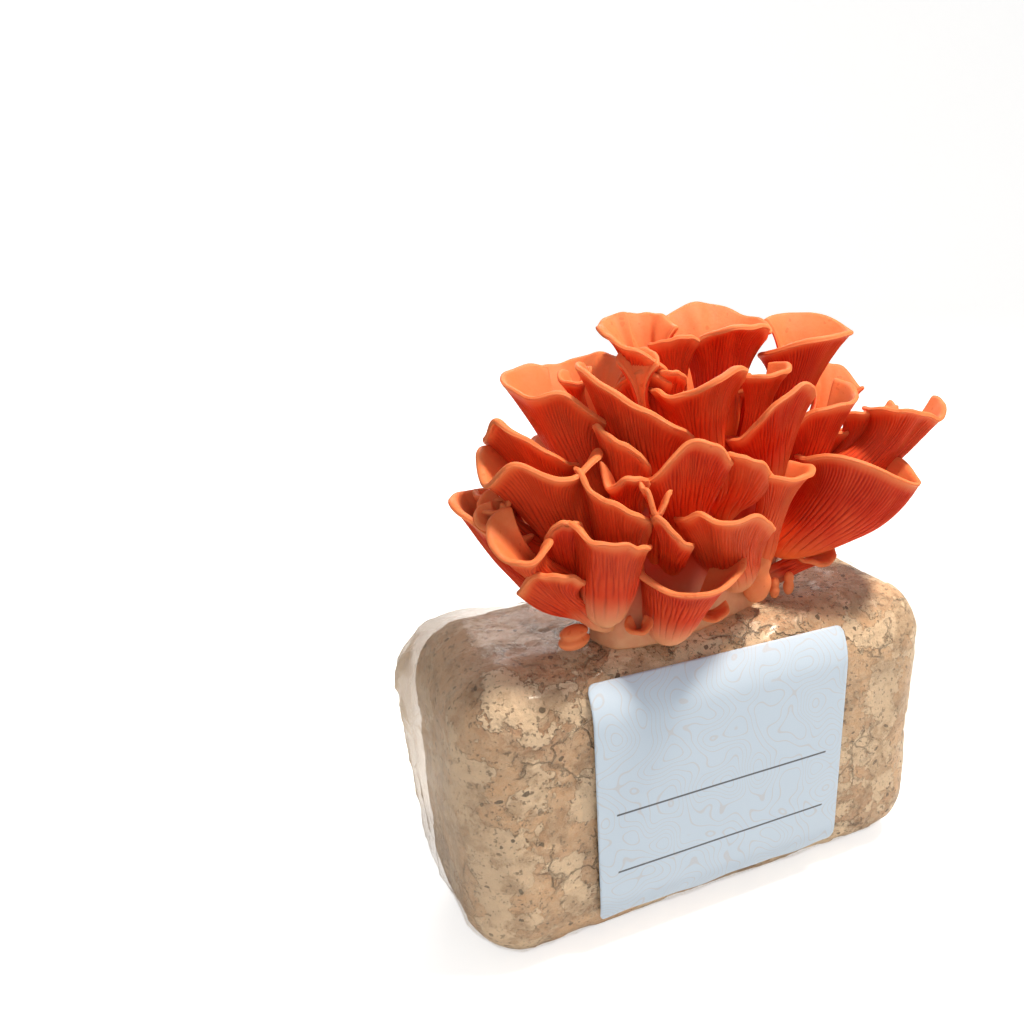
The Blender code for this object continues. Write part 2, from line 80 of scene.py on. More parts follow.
CAPS = tuple(Cap(*row) for row in (
    ("cap_front_bowl", (-21, -32, 126), (-16, -34, 155), 22, -34, 16, 135, 54, 40, (4, 8, 3, 0, -1, -1, -2)),
    ("cap_front_middle", (-44, -29, 136), (-46, -36, 171), 14.5, -28, 2, 92, 50, 22,
     (1, 4, 2, 0, -1, -4, -7)),
    ("cap_front_left", (-50, -20, 142), (-75, -32, 169), 10.5, -48, 0, 140, 60, 50, (9, 7, 2, -3, -3, 0, 0)),
    ("cap_low_left", (-42, -24, 131), (-64, -30, 160), 11.7, -28, 1, 95, 30, 40,
     (-11, -8, -2, 0, -1, -4, -8)),
    ("cap_low_middle", (16, -18, 134), (-2, -38, 173), 18, -28, 2, 95, 44, 30, (-5, -2, 1, 0, 1, -3, -9)),
    ("cap_tube", (24, -16, 137), (22, -36, 184), 12.5, -18, 9, 150, 24, 36, (-5, -2, 0, 0, -2, -2, -4)),
    ("cap_right_big", (40, -12, 143), (68, -22, 176), 25, 0, -8, 150, 88, 30, (1, 4, 6, -4, -8, -3, 0)),
    ("cap_right_under", (36, -8, 130), (52, -18, 142), 10, 0, 30, 100, 50, 50),
    ("cap_centre", (-8, -18, 156), (-11, -26, 196), 17.5, -28, -6, 95, 30, 26,
     (-15, -15, -11, 0, -1, -7, -9)),
    ("cap_centre_right", (9, -16, 160), (7, -34, 190), 11.5, -28, -5, 95, 26, 24, (-6, -4, 0, 0, -2, -6, -8)),
    ("cap_third_row", (-32, -20, 148), (-41, -32, 183), 13, -28, 9, 95, 40, 24, (7, 8, 3, 0, -4, -9, -15)),
    ("cap_left_middle", (-44, -14, 148), (-62, -16, 198), 21, -40, 12, 120, 32, 40,
     (-7, -5, -9, 1, -6, -6, -8)),
    ("cap_far_left", (-48, -10, 136), (-77, -10, 178), 14, -70, 0, 130, 60, 30, (0, 0, 1, -2, -6, -10, -12)),
    ("cap_curl", (-28, -18, 160), (-36, -30, 188), 8.5, -28, 10, 95, 26, 36, (3, -3, -3, 0, 0, -2, -5)),
    ("cap_second_row", (-24, -14, 166), (-33, -22, 199), 10, -28, 12, 95, 44, 20, (2, 4, 3, 0, -4, -10, -16)),
    ("cap_left_small", (-36, -10, 160), (-59, -4, 203), 17, -28, 12, 100, 34, 30,
     (-9, -5, 4, 0, -8, -14, -20)),
    ("cap_left_upper", (-36, -8, 170), (-46, 2, 217), 19, -60, 0, 130, 28, 34,
     (-3, -1, -3, -6, -5, -16, -19)),
    ("cap_slanted", (-14, -10, 170), (-24, -14, 213), 20, -28, 14, 100, 34, 24, (6, 9, 7, 0, -6, -15, -22)),
    ("cap_upper_middle", (6, -10, 176), (0, -16, 217), 17.5, -20, 15, 100, 26, 36, (-9, -6, -4, 0, 5, 1, -6)),
    ("cap_upper_small", (24, -8, 172), (27, -16, 215), 9.5, -20, 14, 160, 20, 34, (-6, -4, -1, 0, 0, 0, -3)),
    ("cap_right_fan", (34, -10, 168), (28, -20, 206), 16.3, -28, 3, 95, 26, 30, (-18, -15, -10, 0, 6, 4, 0)),
    ("cap_right_middle", (50, -2, 156), (59, -8, 202), 15, 0, 0, 125, 30, 30, (-18, -12, -4, -3, -1, 0, 2)),
    ("cap_far_right", (44, 0, 146), (96, -13, 195), 17, -12, 6, 105, 46, 34, (-2, 0, 2, 0, -3, 0, 0)),
    ("cap_top_right", (40, 4, 172), (56, 0, 227), 18, 0, 0, 215, 26, 40, (-16, -14, -8, -4, -3, 1, 0)),
    ("cap_top_middle", (18, 2, 182), (23, 6, 232), 18, -20, 17, 100, 26, 36, (-12, -8, -3, 1, 1, -4, -11)),
    ("cap_top_left", (-4, 0, 182), (-16, 2, 228), 14, -83, 0, 110, 28, 44, (4, 3, 1, -1, -3, -7, -12)),
    ("cap_tucked_left", (-22, -22, 148), (-30, -40, 181), 5.5, -28, 8, 95, 18, 30, (5, 4, 3, -4, -2, 2, 2)),
    ("cap_tucked_low", (-14, -20, 144), (-25, -42, 172), 7.6, -28, 7, 95, 26, 26, (2, 3, 4, 0, -5, -7, -9)),
    ("cap_behind_left", (-20, 0, 168), (-35, 14, 209), 20, 155, 0, 95, 30, 40, (5, 8, 8, 5, 4, 2, -2)),
    ("cap_behind_middle", (-10, -2, 176), (-21, -9, 220), 7.5, 152, 0, 100, 20, 40, (-2, 1, 2, 2, 2, 1, -1)),
    ("cap_behind_slanted", (-4, -2, 184), (-11, 0, 218), 12.5, -28, 15, 90, 30, 20,
     (-11, -5, -1, 0, -3, -8, -14)),
    ("cap_back_far_left", (-36, -8, 132), (-49, 22, 158), 13, -135, 14, 95, 30, 54, (0, 2, 0, 2, 0)),
    ("cap_back_left", (-22, -6, 132), (-24, 24, 162), 17, -170, 14, 110, 38, 56, (2, 0, 1, 0, 3)),
    ("cap_back_middle", (8, 0, 132), (10, 32, 164), 18, 176, 14, 110, 38, 56, (0, 2, 0, -1, 2)),
    ("cap_back_right", (34, 8, 134), (42.0, 34.8, 162.0), 17, 160, 14, 110, 38, 56, (2, 0, 0, 2, 0)),
    ("cap_back_far_right", (48, 8, 140), (78, 20, 170), 15, 115, 14, 95, 32, 54, (0, 1, 0, 0, 2)),
    ("cap_back_upper_left", (-24, -6, 154), (-36, 22, 186), 15, -160, 10, 90, 30, 46, (2, 0, 2, 0, 0)),
    ("cap_back_upper_middle", (0, -2, 160), (0, 24, 196), 16, -178, 10, 105, 38, 46, (0, 2, 0, 0, 3)),
    ("cap_back_upper_right", (24, 4, 158), (30, 30, 192), 16, 165, 10, 98, 38, 46, (2, 0, 0, 1, 0)),
    ("cap_back_end", (40, 5, 148), (80, 13, 203), 13, 152, 0, 100, 34, 40, (-5, -5, 0, 3, 2, 1, 0)),
    ("cap_back_top", (14, 6, 178), (24, 14, 225.5), 22, 152, 0, 105, 28, 40, (-1, 0, 2, 6, 5, 1, -2)),
    ("leaf_left", (-48, -18, 140), (-59, -30, 175), 7, -28, -2, 95, 20, 20, (-11, -6, -2, 0, 0, -1, -4)),
    ("leaf_upper", (-24, 0, 176), (-39, 4, 214), 6, -28, 14, 150, 16, 36, (-1, 1, 0, 0, 0, 2, 1)),
    ("leaf_curled", (0, -6, 186), (-8, -10, 217), 5.5, -28, 15, 100, 24, 36, (0, -1, 0, 0, -1, -3, -6)),
    ("leaf_right", (43, 0, 144), (86, -2, 193), 13, -10, 4, 100, 30, 34, (0, -1, 0, 2, 0, 0, 0)),
    ("leaf_back", (2, 4, 184), (-8, 10, 228), 12, 152, 0, 100, 26, 40, (0, 0, 2, 3, 3, 2, 0)),
    ("leaf_crown", (2, 4, 170), (1, 6, 222), 10, 5, 0, 110, 26, 34, (0, 1, 3, 3, 2, 1, 0)),
    ("leaf_between", (22, 4, 145), (31, 6, 202), 12, 0, 0, 110, 24, 34, (0, 1, 2, 2, 1, 1, 0)),
    ("leaf_gap", (42, 2, 138), (72, 4, 182), 10, -5, 0, 110, 26, 34, (0, 1, 2, 2, 1, 1, 0)),
    ("leaf_shade", (-48, -2, 140), (-72, -4, 178), 9, -30, 0, 110, 30, 34, (0, 1, 1, 0, 1, 0, 0)),
    ("nest_upper", (-54, -10, 150), (-77, -15, 179), 6, -50, 35, 165, 40, 40, (0, 0, 1, 0, 0)),
    ("nest_lower", (-56, -12, 150), (-80, -20, 176), 6, -40, 35, 165, 40, 40, (0, 1, 0, 0, 0)),
    ("lobe_low", (-10, -22, 127), (-5, -36, 134), 6, -20, 35, 120, 30, 50),
    ("curl_low", (-30, -26, 127), (-36, -38, 135), 5, -20, 20, 150, 30, 50),
))

# Unopened buds and the swollen base of a stem: centre, half sizes and yaw
BUDS = (
    ("bud_left", (-56.0, -27.0, 129.8), (7.0, 4.5, 4.5), 20),
    ("pin_front", (32.0, -21.5, 129.8), (2.2, 2.2, 4.5), 0),
    ("pin_right", (39.0, -21.0, 130.3), (2.4, 2.4, 5.0), 0),
    ("stem_bulb", (21.0, -25.0, 138.0), (6.5, 5.5, 11.0), 0),
)


# The studio, in metres. A lamp is a name, a place, a size, a power in watts and a tint
LAMPS = (
    ("key", (0.27, -0.20, 1.04), 0.12, 11.5, (1.0, 0.90, 0.74)),
    ("fill", (-0.45, -1.1, 0.50), 0.90, 1.7, (1.0, 0.97, 0.94)),
    ("back", (0.30, 0.90, 0.80), 0.60, 4.5, (1.0, 0.97, 0.93)),
)
LAMPS_TARGET = (0, 0, 0.12)
SURROUND = (1.0, 0.985, 0.96, 1), 0.38
CAMERA_TURN, CAMERA_LIFT, CAMERA_AWAY = -28, 24, 0.3863
CAMERA_TARGET = (-0.0027, 0.0, 0.1155)
CAMERA_LENS, CAMERA_SHIFT = 33.57, (-0.156, 0.1035)


def length_setting(name, default, description):
    return FloatProperty(name=name, default=default, description=description, unit="LENGTH")


def colour_setting(name, default, description):
    return FloatVectorProperty(name=name, default=default, description=description, size=3, subtype="COLOR")


class KitSizes(PropertyGroup):
    """Sizes of the fine shapes."""

    gill_gap: length_setting("Gill gap", 0.00138, "From one gill to the next at the lip")
    gill_depth: length_setting("Gill depth", 0.00075, "Depth of the grooves between gills")
    lip_roll: length_setting("Lip roll", 0.0017, "Radius of the turned-out margin")
    flesh: length_setting("Flesh", 0.0019, "Thickness of a large cap")
    crumb: length_setting("Crumb relief", 0.0014, "Height of the lumps on the block")
    wrinkle: length_setting("Wrinkle height", 0.0016, "Height of the film's wrinkles")


class KitColours(PropertyGroup):
    """Colours, as linear RGB."""

    # Partly the gills' own colour, partly painted shade: the gill side is kept deep because it faces away
    # from the light.
    gill: colour_setting("Gills", (0.68, 0.036, 0.004), "Gill side")
    # Painted shade: the groove colour darkens the flesh between the gills, where shade falls.
    groove: colour_setting("Gill grooves", (0.38, 0.006, 0.001), "Between the gills")
    # Partly the cap's own colour, partly painted light: the upper side and lip are kept pale as if lit from
    # above.
    upper: colour_setting("Upper side", (0.84, 0.225, 0.08), "Velvety upper side and lip")
    # Painted glow: a bright stem colour that stands in for light shining through the flesh.
    glow: colour_setting("Stem glow", (0.90, 0.17, 0.035), "Bright stems high in the bouquet")
    stem: colour_setting("Stem", (0.82, 0.42, 0.22), "Pale foot of a stem")
    cream: colour_setting("Mycelium", (0.72, 0.45, 0.26), "Pale grown-through crust")
    tan: colour_setting("Sawdust", (0.36, 0.20, 0.10), "Sawdust showing through")
    paper: colour_setting("Label", (0.60, 0.73, 0.90), "Label paper")
    floor: colour_setting("Floor", (0.78, 0.78, 0.78), "Studio floor")


# Shapes


def unit(v):
    return v / np.maximum(np.linalg.norm(v, axis=-1, keepdims=True), 1e-12)


def smooth_step(x, low=0.0, high=1.0):
    x = np.clip((x - low) / (high - low), 0, 1)
    return x * x * (3 - 2 * x)


def value_noise(points, size, seed=0):
    """Smooth noise from -1 to 1: random values on a lattice of that size, blended by smooth steps between
    the eight corners round each point."""
    p = np.asarray(points) / size + 100.0
    cell = np.floor(p).astype(np.int64)
    f = p - cell
    f = f * f * (3 - 2 * f)
    total = 0.0
    for corner in range(8):
        offset = np.array([corner & 1, corner >> 1 & 1, corner >> 2 & 1])
        k = cell + offset
        h = k[..., 0] * 73856093 ^ k[..., 1] * 19349663 ^ k[..., 2] * 83492791 ^ (seed * 2654435761 + 97)
        h = (h ^ h >> 13) * 1274126177 & 0x7FFFFFFF
        h = (h ^ h >> 16) & 0xFFFF
        weight = np.prod(np.where(offset, f, 1 - f), axis=-1)
        total = total + weight * (h / 32767.5 - 1)
    return total


def layered_noise(points, size, layers=4, seed=0):
    """Value noise with halved sizes and heights added up."""
    return sum(value_noise(points, size / 2**k, seed + k) / 2**k for k in range(layers)) / 1.6


def along_margin(values, t):
    """A Catmull-Rom curve through values spaced evenly over t from -1 to 1."""
    padded = np.array([values[0], *values, values[-1]], float)
    place = (np.clip(t, -1, 1) + 1) / 2 * (len(values) - 1)
    i = np.minimum(place.astype(int), len(values) - 2)
    s = place - i
    p0, p1, p2, p3 = (padded[i + k] for k in range(4))
    return p1 + s * ((p2 - p0) + s * ((2 * p0 - 5 * p1 + 4 * p2 - p3) + s * (3 * p1 - p0 - 3 * p2 + p3))) / 2


def put_mesh(name, points, quads, triangles=None):
    """A smooth-shaded object from arrays of points in millimetres, four-sided and three-sided faces."""
    mesh = bpy.data.meshes.new(name)
    triangles = np.zeros((0, 3), int) if triangles is None else triangles
    loops = np.concatenate([quads.ravel(), triangles.ravel()]).astype(np.int32)
    starts = np.concatenate([np.arange(len(quads)) * 4, len(quads) * 4 + np.arange(len(triangles)) * 3])
    mesh.vertices.add(len(points))
    mesh.vertices.foreach_set("co", (points * MM).astype(np.float32).ravel())
    mesh.loops.add(len(loops))
    mesh.loops.foreach_set("vertex_index", loops)
    mesh.polygons.add(len(starts))
    mesh.polygons.foreach_set("loop_start", starts.astype(np.int32))
    mesh.polygons.foreach_set("use_smooth", np.ones(len(starts), bool))
    mesh.update(calc_edges=True)
    mesh.validate()
    made = bpy.data.objects.new(name, mesh)
    bpy.context.scene.collection.objects.link(made)
    return made


def put_mask(thing, name, values):
    """A number for each point, for its material to read."""
    mask = thing.data.attributes.new(name, "FLOAT", "POINT")
    mask.data.foreach_set("value", np.asarray(values, np.float32).ravel())


def grid_quads(rows, columns, closed=False, first=0):
    """Faces of a grid of points, row after row; closed joins the last column to the first one."""
    at = first + np.arange(rows * columns).reshape(rows, columns)
    across = np.concatenate([at, at[:, :1]], axis=1) if closed else at
    a, b, c, d = across[:-1, :-1], across[:-1, 1:], across[1:, 1:], across[1:, :-1]
    return np.stack([a, b, c, d], -1).reshape(-1, 4)


def rim_steps(rows, columns):
    """The points round the rim of a grid in order, and the one after each of them."""
    at = np.arange(rows * columns).reshape(rows, columns)
    rim = np.concatenate([at[0, :-1], at[:-1, -1], at[-1, :0:-1], at[:0:-1, 0]])
    return rim, np.roll(rim, -1)


def put_loft(name, rings):
    """A closed skin over rings (rows, columns, 3), each end closed on the mean of its ring."""
    rows, columns, _ = rings.shape
    points = np.concatenate([rings.reshape(-1, 3), rings[:1].mean(1), rings[-1:].mean(1)])
    k = np.arange(columns)
    nxt, last, total = np.roll(k, -1), (rows - 1) * columns, rows * columns
    first_end = np.stack([nxt, k, np.full_like(k, total)], 1)
    last_end = np.stack([last + k, last + nxt, np.full_like(k, total + 1)], 1)
    return put_mesh(name, points, grid_quads(rows, columns, True), np.concatenate([first_end, last_end]))


def grid_normals(grid):
    """Unit normals of a grid of points, from its differences along rows and columns."""
    return unit(np.cross(np.gradient(grid, axis=1), np.gradient(grid, axis=0)))


# The block and its wrap


def block_outline(count):
    """A rounded rectangle's outline at even steps: the point of the core rectangle, and the way out of it.

    The four straight sides move along the core and the four corners turn on it."""
    arc = EDGE_ROUND * math.pi / 2
    spans = np.array([arc, 2 * CORE[0], arc, 2 * CORE[1]] * 2)
    ends = np.cumsum(spans)
    place = np.arange(count) / count * ends[-1]
    leg = np.searchsorted(ends, place, side="right")
    share = (place - (ends - spans)[leg]) / spans[leg]
    quarter = leg // 2
    corner = np.array([(1, 1), (-1, 1), (-1, -1), (1, -1)])
    turning = leg % 2 == 0
    angle = (quarter + np.where(turning, share, 1.0)) * math.pi / 2
    start, end = corner[quarter] * CORE, corner[(quarter + 1) % 4] * CORE
    core = np.where(turning[:, None], start, start + (end - start) * share[:, None])
    return core, np.stack([np.cos(angle), np.sin(angle)], -1)


def block_profile(rows):
    """Steps from the middle of the underside up to the middle of the top: how much of the core rectangle is
    spanned, the latitude on the rounding and the height of the core there."""
    flat, arc, wall = 60.0, EDGE_ROUND * math.pi / 2, BAG[2] - 2 * EDGE_ROUND
    spans = np.array([flat, arc, wall, arc, flat])
    ends = np.cumsum(spans)
    place = np.linspace(0, ends[-1] - 1e-6, rows)
    leg = np.searchsorted(ends, place, side="right")
    share = (place - (ends - spans)[leg]) / spans[leg]
    span = np.select([leg == 0, leg == 4], [share, 1 - share], 1.0)
    turns = [-90, -90 + 90 * share, 0, 90 * share]
    latitude = np.select([leg == 0, leg == 1, leg == 2, leg == 3], turns, 90.0)
    height = np.select([leg < 2, leg == 2], [EDGE_ROUND, EDGE_ROUND + wall * share], BAG[2] - EDGE_ROUND)
    return span, np.radians(latitude), height


def rounded_block(rows, columns, inset):
    """The rounded block as a grid (rows, columns, 3) and its outward directions: core point plus the edge
    rounding times a direction made of the outline's turn and the profile's latitude."""
    core, away = block_outline(columns)
    span, latitude, height = block_profile(rows)
    latitude, span, height = (values[:, None, None] for values in (latitude, span, height))
    one = np.ones((rows, columns, 1))
    out = np.concatenate([np.cos(latitude) * away[None], np.sin(latitude) * one], -1)
    middle = np.concatenate([span * core[None], height * one], -1)
    return middle + out * (EDGE_ROUND - inset), out


def rested(grid):
    """A grid of points with its underside brought down to the floor."""
    grid[..., 2] -= FILM_INSET * (1 - smooth_step(grid[..., 2], FILM_INSET, FLATTENED))
    return grid


def slack(points):
    """How far the film stands off the block: a pillow at the upper back and a fold at the -X end."""
    x, y, z = points[..., 0], points[..., 1], points[..., 2]
    pillow = np.exp(-(((x + 92) / 26) ** 2) - ((y - 26) / 26) ** 2 - ((z - 100) / 26) ** 2)
    fold = np.exp(-(((x + 105) / 9) ** 2) - ((z - 62) / 40) ** 2)
    return np.clip(pillow + 0.55 * fold, 0, 1)


def yawed(plan):
    """Plan offsets turned from the block's axes to the shared foot's."""
    a = math.radians(FOOT_YAW)
    x = plan[..., 0] * math.cos(a) + plan[..., 1] * math.sin(a)
    y = -plan[..., 0] * math.sin(a) + plan[..., 1] * math.cos(a)
    return np.stack([x, y], -1)


def foot_outline(directions, room):
    """The shared foot's outline in plan, a squared ellipse, where directions from its centre meet it."""
    half = np.array(FOOT_SPAN[:2]) + room
    size = (np.abs(yawed(directions) / half) ** FOOT_SQUARE).sum(-1, keepdims=True) ** (-1 / FOOT_SQUARE)
    return directions * size + np.array(FOOT_CENTRE)


def block_top(x, y, inset):
    """Height of the rounded block's upper side at a place, less an inset."""
    dx, dy = np.maximum(np.abs(x) - CORE[0], 0), np.maximum(np.abs(y) - CORE[1], 0)
    return BAG[2] - EDGE_ROUND + np.sqrt(np.maximum((EDGE_ROUND - inset) ** 2 - dx**2 - dy**2, 0))


def crumbled_block(crumb):
    """The block: the rounded block pushed in and out by layered noise and by flakes, which are steps where a
    second noise passes a level."""
    rows, columns = 250, 340
    grid, out = rounded_block(rows, columns, CRUST_INSET)
    lumps = layered_noise(grid, 26, 3, 3)
    flakes = smooth_step(layered_noise(grid * np.array([1, 1, 0.8]), 13, 3, 11), 0.02, 0.10)
    grains = layered_noise(grid, 3.2, 2, 21)
    low = smooth_step(grid[..., 2], 0.0, 6.0)
    push = crumb * (0.75 * lumps + 0.40 * flakes + 0.22 * grains) * low
    return put_loft("block_crust", rested(grid + out * push[..., None]))


def film_lift(grid, wrinkle):
    """Height of the film's wrinkles: ridges where stretched noise crosses zero, upright at the ends, raking
    across the front, and crumpled where the film is slack."""
    loose = slack(grid)
    end = smooth_step(np.abs(grid[..., 0]), 62, 100)

    def ridges(stretch, size, seed, sharp):
        return np.exp(-np.abs(layered_noise(grid * np.array(stretch), size, 2, seed)) * sharp)

    upright = ridges((1, 1, 0.22), 13, 31, 9)
    raking = ridges((0.45, 1, 1), 22, 41, 12)
    crumple = ridges((1, 1, 1), 17, 51, 8)
    lift = 0.28 + 0.55 * end * upright + 0.35 * raking + (0.35 + 0.7 * loose) * crumple
    low = smooth_step(grid[..., 2], 0.0, 9.0)
    return wrinkle * lift * low, loose


def wrapped_film(wrinkle):
    """The bag: a thin double wall from the middle of its underside up to the cut round the shared foot.

    The wall follows the rounded block as far as the start of the top; from there each line runs straight
    in plan to the cut, on the block's own height. Slack and wrinkles push it outwards."""
    rows, columns, top_rows = 170, 420, 40
    _, latitude, _ = block_profile(rows)
    keep = latitude < math.radians(52)
    side, out = rounded_block(rows, columns, FILM_INSET)
    side, out = side[keep], out[keep]
    edge = side[-1][None, :, :2]
    cut = foot_outline(unit(edge - np.array(FOOT_CENTRE)), 1.0)
    share = np.linspace(0, 1, top_rows + 1)[1:, None, None]
    plan = edge * (1 - share) + cut * share
    top = np.concatenate([plan, block_top(plan[..., 0], plan[..., 1], FILM_INSET)[..., None]], -1)
    past_core = np.maximum(np.abs(plan) - CORE, 0) * np.sign(plan)
    up = unit(np.concatenate([past_core, top[..., 2:] - (BAG[2] - EDGE_ROUND)], -1))
    grid, out = np.concatenate([side, top]), np.concatenate([out, up])
    lift, loose = film_lift(grid, wrinkle)
    near_cut = np.concatenate([np.zeros(len(side)), np.linspace(0, 1, top_rows)])[:, None] ** 6
    grid = grid + out * (lift * (1 - 0.5 * near_cut) + (FILM_ROOM * loose) + 0.6 * near_cut)[..., None]
    grid = rested(grid)
    rings = np.concatenate([grid, (grid - out * 0.15)[::-1]])
    made = put_loft("film_wrap", rings)
    # crest, the wrinkles' height, is where the film material paints its highlight.
    for mask, values in (("loose", loose), ("crest", lift / np.maximum(lift.max(), 1e-6))):
        put_mask(made, mask, np.concatenate([values.ravel(), values[::-1].ravel(), [0, 0]]))
    return made


def label_sheet():
    """The label: a strip whose cross path runs up the front and turns over both edges, as a closed thin slab;
    its lower edge waves, its corners are rounded and its face has slight swells of its own."""
    across, along = 120, 110
    s = np.linspace(-1, 1, across)[None, :] * np.ones((along, 1))
    v = np.linspace(0, 1, along)[:, None] * np.ones((1, across))
    x = s * LABEL_WIDTH / 2
    past_corner = np.maximum(np.abs(x) - (LABEL_WIDTH / 2 - LABEL_CORNER), 0)
    trim = LABEL_CORNER - np.sqrt(np.maximum(LABEL_CORNER**2 - past_corner**2, 0))
    under, over = math.radians(LABEL_UNDER) * EDGE_ROUND, math.radians(LABEL_OVER) * EDGE_ROUND
    wall = BAG[2] - 2 * EDGE_ROUND
    wave = 0.9 * np.sin(x / 7.0) + 0.6 * np.sin(x / 3.7 + 1.0)
    low, high = -under + trim + wave * 0.6 + 0.8, wall + over - trim
    place = low + (high - low) * v
    angle = np.where(place < 0, place / EDGE_ROUND, np.where(place > wall, (place - wall) / EDGE_ROUND, 0.0))
    level = EDGE_ROUND + np.clip(place, 0, wall)
    swell = 0.10 * layered_noise(np.stack([x, place, 0 * x], -1), 24, 2, 61)

    def face(lift):
        reach = EDGE_ROUND + lift + swell
        y = -(BAG[1] / 2 - EDGE_ROUND) - reach * np.cos(angle)
        return np.stack([x + LABEL_X, y, level + reach * np.sin(angle)], -1)

    front, back = face(0.55), face(0.25)
    count = across * along
    points = np.concatenate([front.reshape(-1, 3), back.reshape(-1, 3)])
    rim, onward = rim_steps(along, across)
    sides = np.stack([rim, rim + count, onward + count, onward], -1)
    facing, behind = grid_quads(along, across), grid_quads(along, across, first=count)[:, ::-1]
    made = put_mesh("label_paper", points, np.concatenate([facing, behind, sides]))
    plan = np.stack([(x + LABEL_WIDTH / 2) / 100, place / 100], -1).reshape(-1, 2)
    layer = made.data.uv_layers.new(name="paper")
    where = np.empty(len(made.data.loops), np.int32)
    made.data.loops.foreach_get("vertex_index", where)
    layer.data.foreach_set("uv", np.concatenate([plan, plan])[where].astype(np.float32).ravel())
    return made


# The bouquet


def shared_foot():
    """The lump the stems run into: a squared ellipse in plan that narrows like a dome, fluted by stems that
    have grown together (a wave round it, stretched upwards by noise)."""
    rows, columns = 90, 260
    angle = np.linspace(0, 2 * math.pi, columns, endpoint=False)
    outline = foot_outline(np.stack([np.cos(angle), np.sin(angle)], -1), -1.2) - np.array(FOOT_CENTRE)
    rise = np.linspace(0, 1, rows)
    fork = 0.74 + 0.42 * smooth_step(rise, 0.04, 0.5)[:, None]
    outline = np.broadcast_to(outline[None], (rows, columns, 2)).copy()
    outline[..., 0] *= np.where(outline[..., 0] > 0, fork, 0.94)
    latitude = rise * math.radians(86)
    plan = outline * np.cos(latitude)[:, None, None] ** 0.9 + np.array(FOOT_CENTRE)
    z = BAG[2] - 3 + (FOOT_SPAN[2] + 2) * np.sin(latitude)
    grid = np.concatenate([plan, np.broadcast_to(z[:, None, None], (rows, columns, 1))], -1)
    out = unit(np.concatenate([plan - np.array(FOOT_CENTRE), 0.25 * (grid[..., 2:] - BAG[2])], -1))
    flutes = layered_noise(grid * np.array([1, 1, 0.16]), 8.0, 3, 71)
    grid = grid + out * flutes[..., None]
    made = put_loft("stem_cluster", grid)
    put_mask(made, "reach", np.concatenate([np.repeat(rise, columns), [0, 1]]))
    return made


def cap_profile(cap, u, t, roll):
    """The middle of a cap's flesh. u from 0 to 1 runs up from the stem to the start of the lip, and on to 2
    round the turned-out lip; t from -1 to 1 goes across the fan.

    Up to the lip each line is a cubic Bezier curve, from a half circle round the stem to the margin, an arc
    of the mouth with its rises. The lip is an arc of the roll's radius that bends outwards."""
    face, tip, flare, spread = (math.radians(v) for v in (cap.face, cap.tip, cap.flare, cap.spread))
    phase = sum(ord(letter) * (k + 3) for k, letter in enumerate(cap.name)) % 63 / 10
    out = np.array([math.sin(face), -math.cos(face), 0.0])
    side = np.array([math.cos(face), math.sin(face), 0.0])
    up = np.array([0.0, 0.0, 1.0])
    ahead = out * math.cos(tip) - up * math.sin(tip)
    axis = out * math.sin(tip) + up * math.cos(tip)
    turn = (t * math.radians(cap.wrap))[..., None]
    radial = np.cos(turn) * ahead + np.sin(turn) * side
    lobes = 0.030 * np.sin(t * 5.1 + phase) + 0.018 * np.sin(t * 11.3 + 2 * phase)
    waves = 0.5 * np.sin(t * 8.3 + 3 * phase) + 0.3 * np.sin(t * 17.0 + phase)
    margin = np.array(cap.mouth) + cap.radius * (1 + lobes[..., None]) * radial
    margin = margin + (along_margin(cap.rises, t) + waves * min(1.0, cap.radius / 16))[..., None] * axis
    tangent = math.cos(flare) * axis + math.sin(flare) * radial
    outward = math.cos(flare) * radial - math.sin(flare) * axis
    bend = math.radians(78) * (1 + 0.25 * np.sin(t * 4.0 + 1.7 * phase))[..., None]
    margin = margin - roll * (np.sin(bend) * tangent + (1 - np.cos(bend)) * outward)
    half_turn = (t * math.pi / 2)[..., None]
    around = np.cos(half_turn) * out + np.sin(half_turn) * side
    stem = min(STEM_RADIUS, cap.radius * 0.34) * 0.55
    foot = np.array(cap.root) + stem * around
    rise = unit(np.array(cap.mouth, float) - np.array(cap.root))
    reach = np.linalg.norm(margin - foot, axis=-1, keepdims=True)
    first = foot + unit(rise * math.cos(spread) + radial * math.sin(spread)) * reach * 0.40
    second = margin - tangent * reach * 0.40
    w = np.clip(u, 0, 1)[..., None]
    line = (1 - w) ** 3 * foot + 3 * (1 - w) ** 2 * w * first + 3 * (1 - w) * w * w * second + w**3 * margin
    past = np.clip(u - 1, 0, 1)[..., None] * bend
    return line + roll * (np.sin(past) * tangent + (1 - np.cos(past)) * outward)


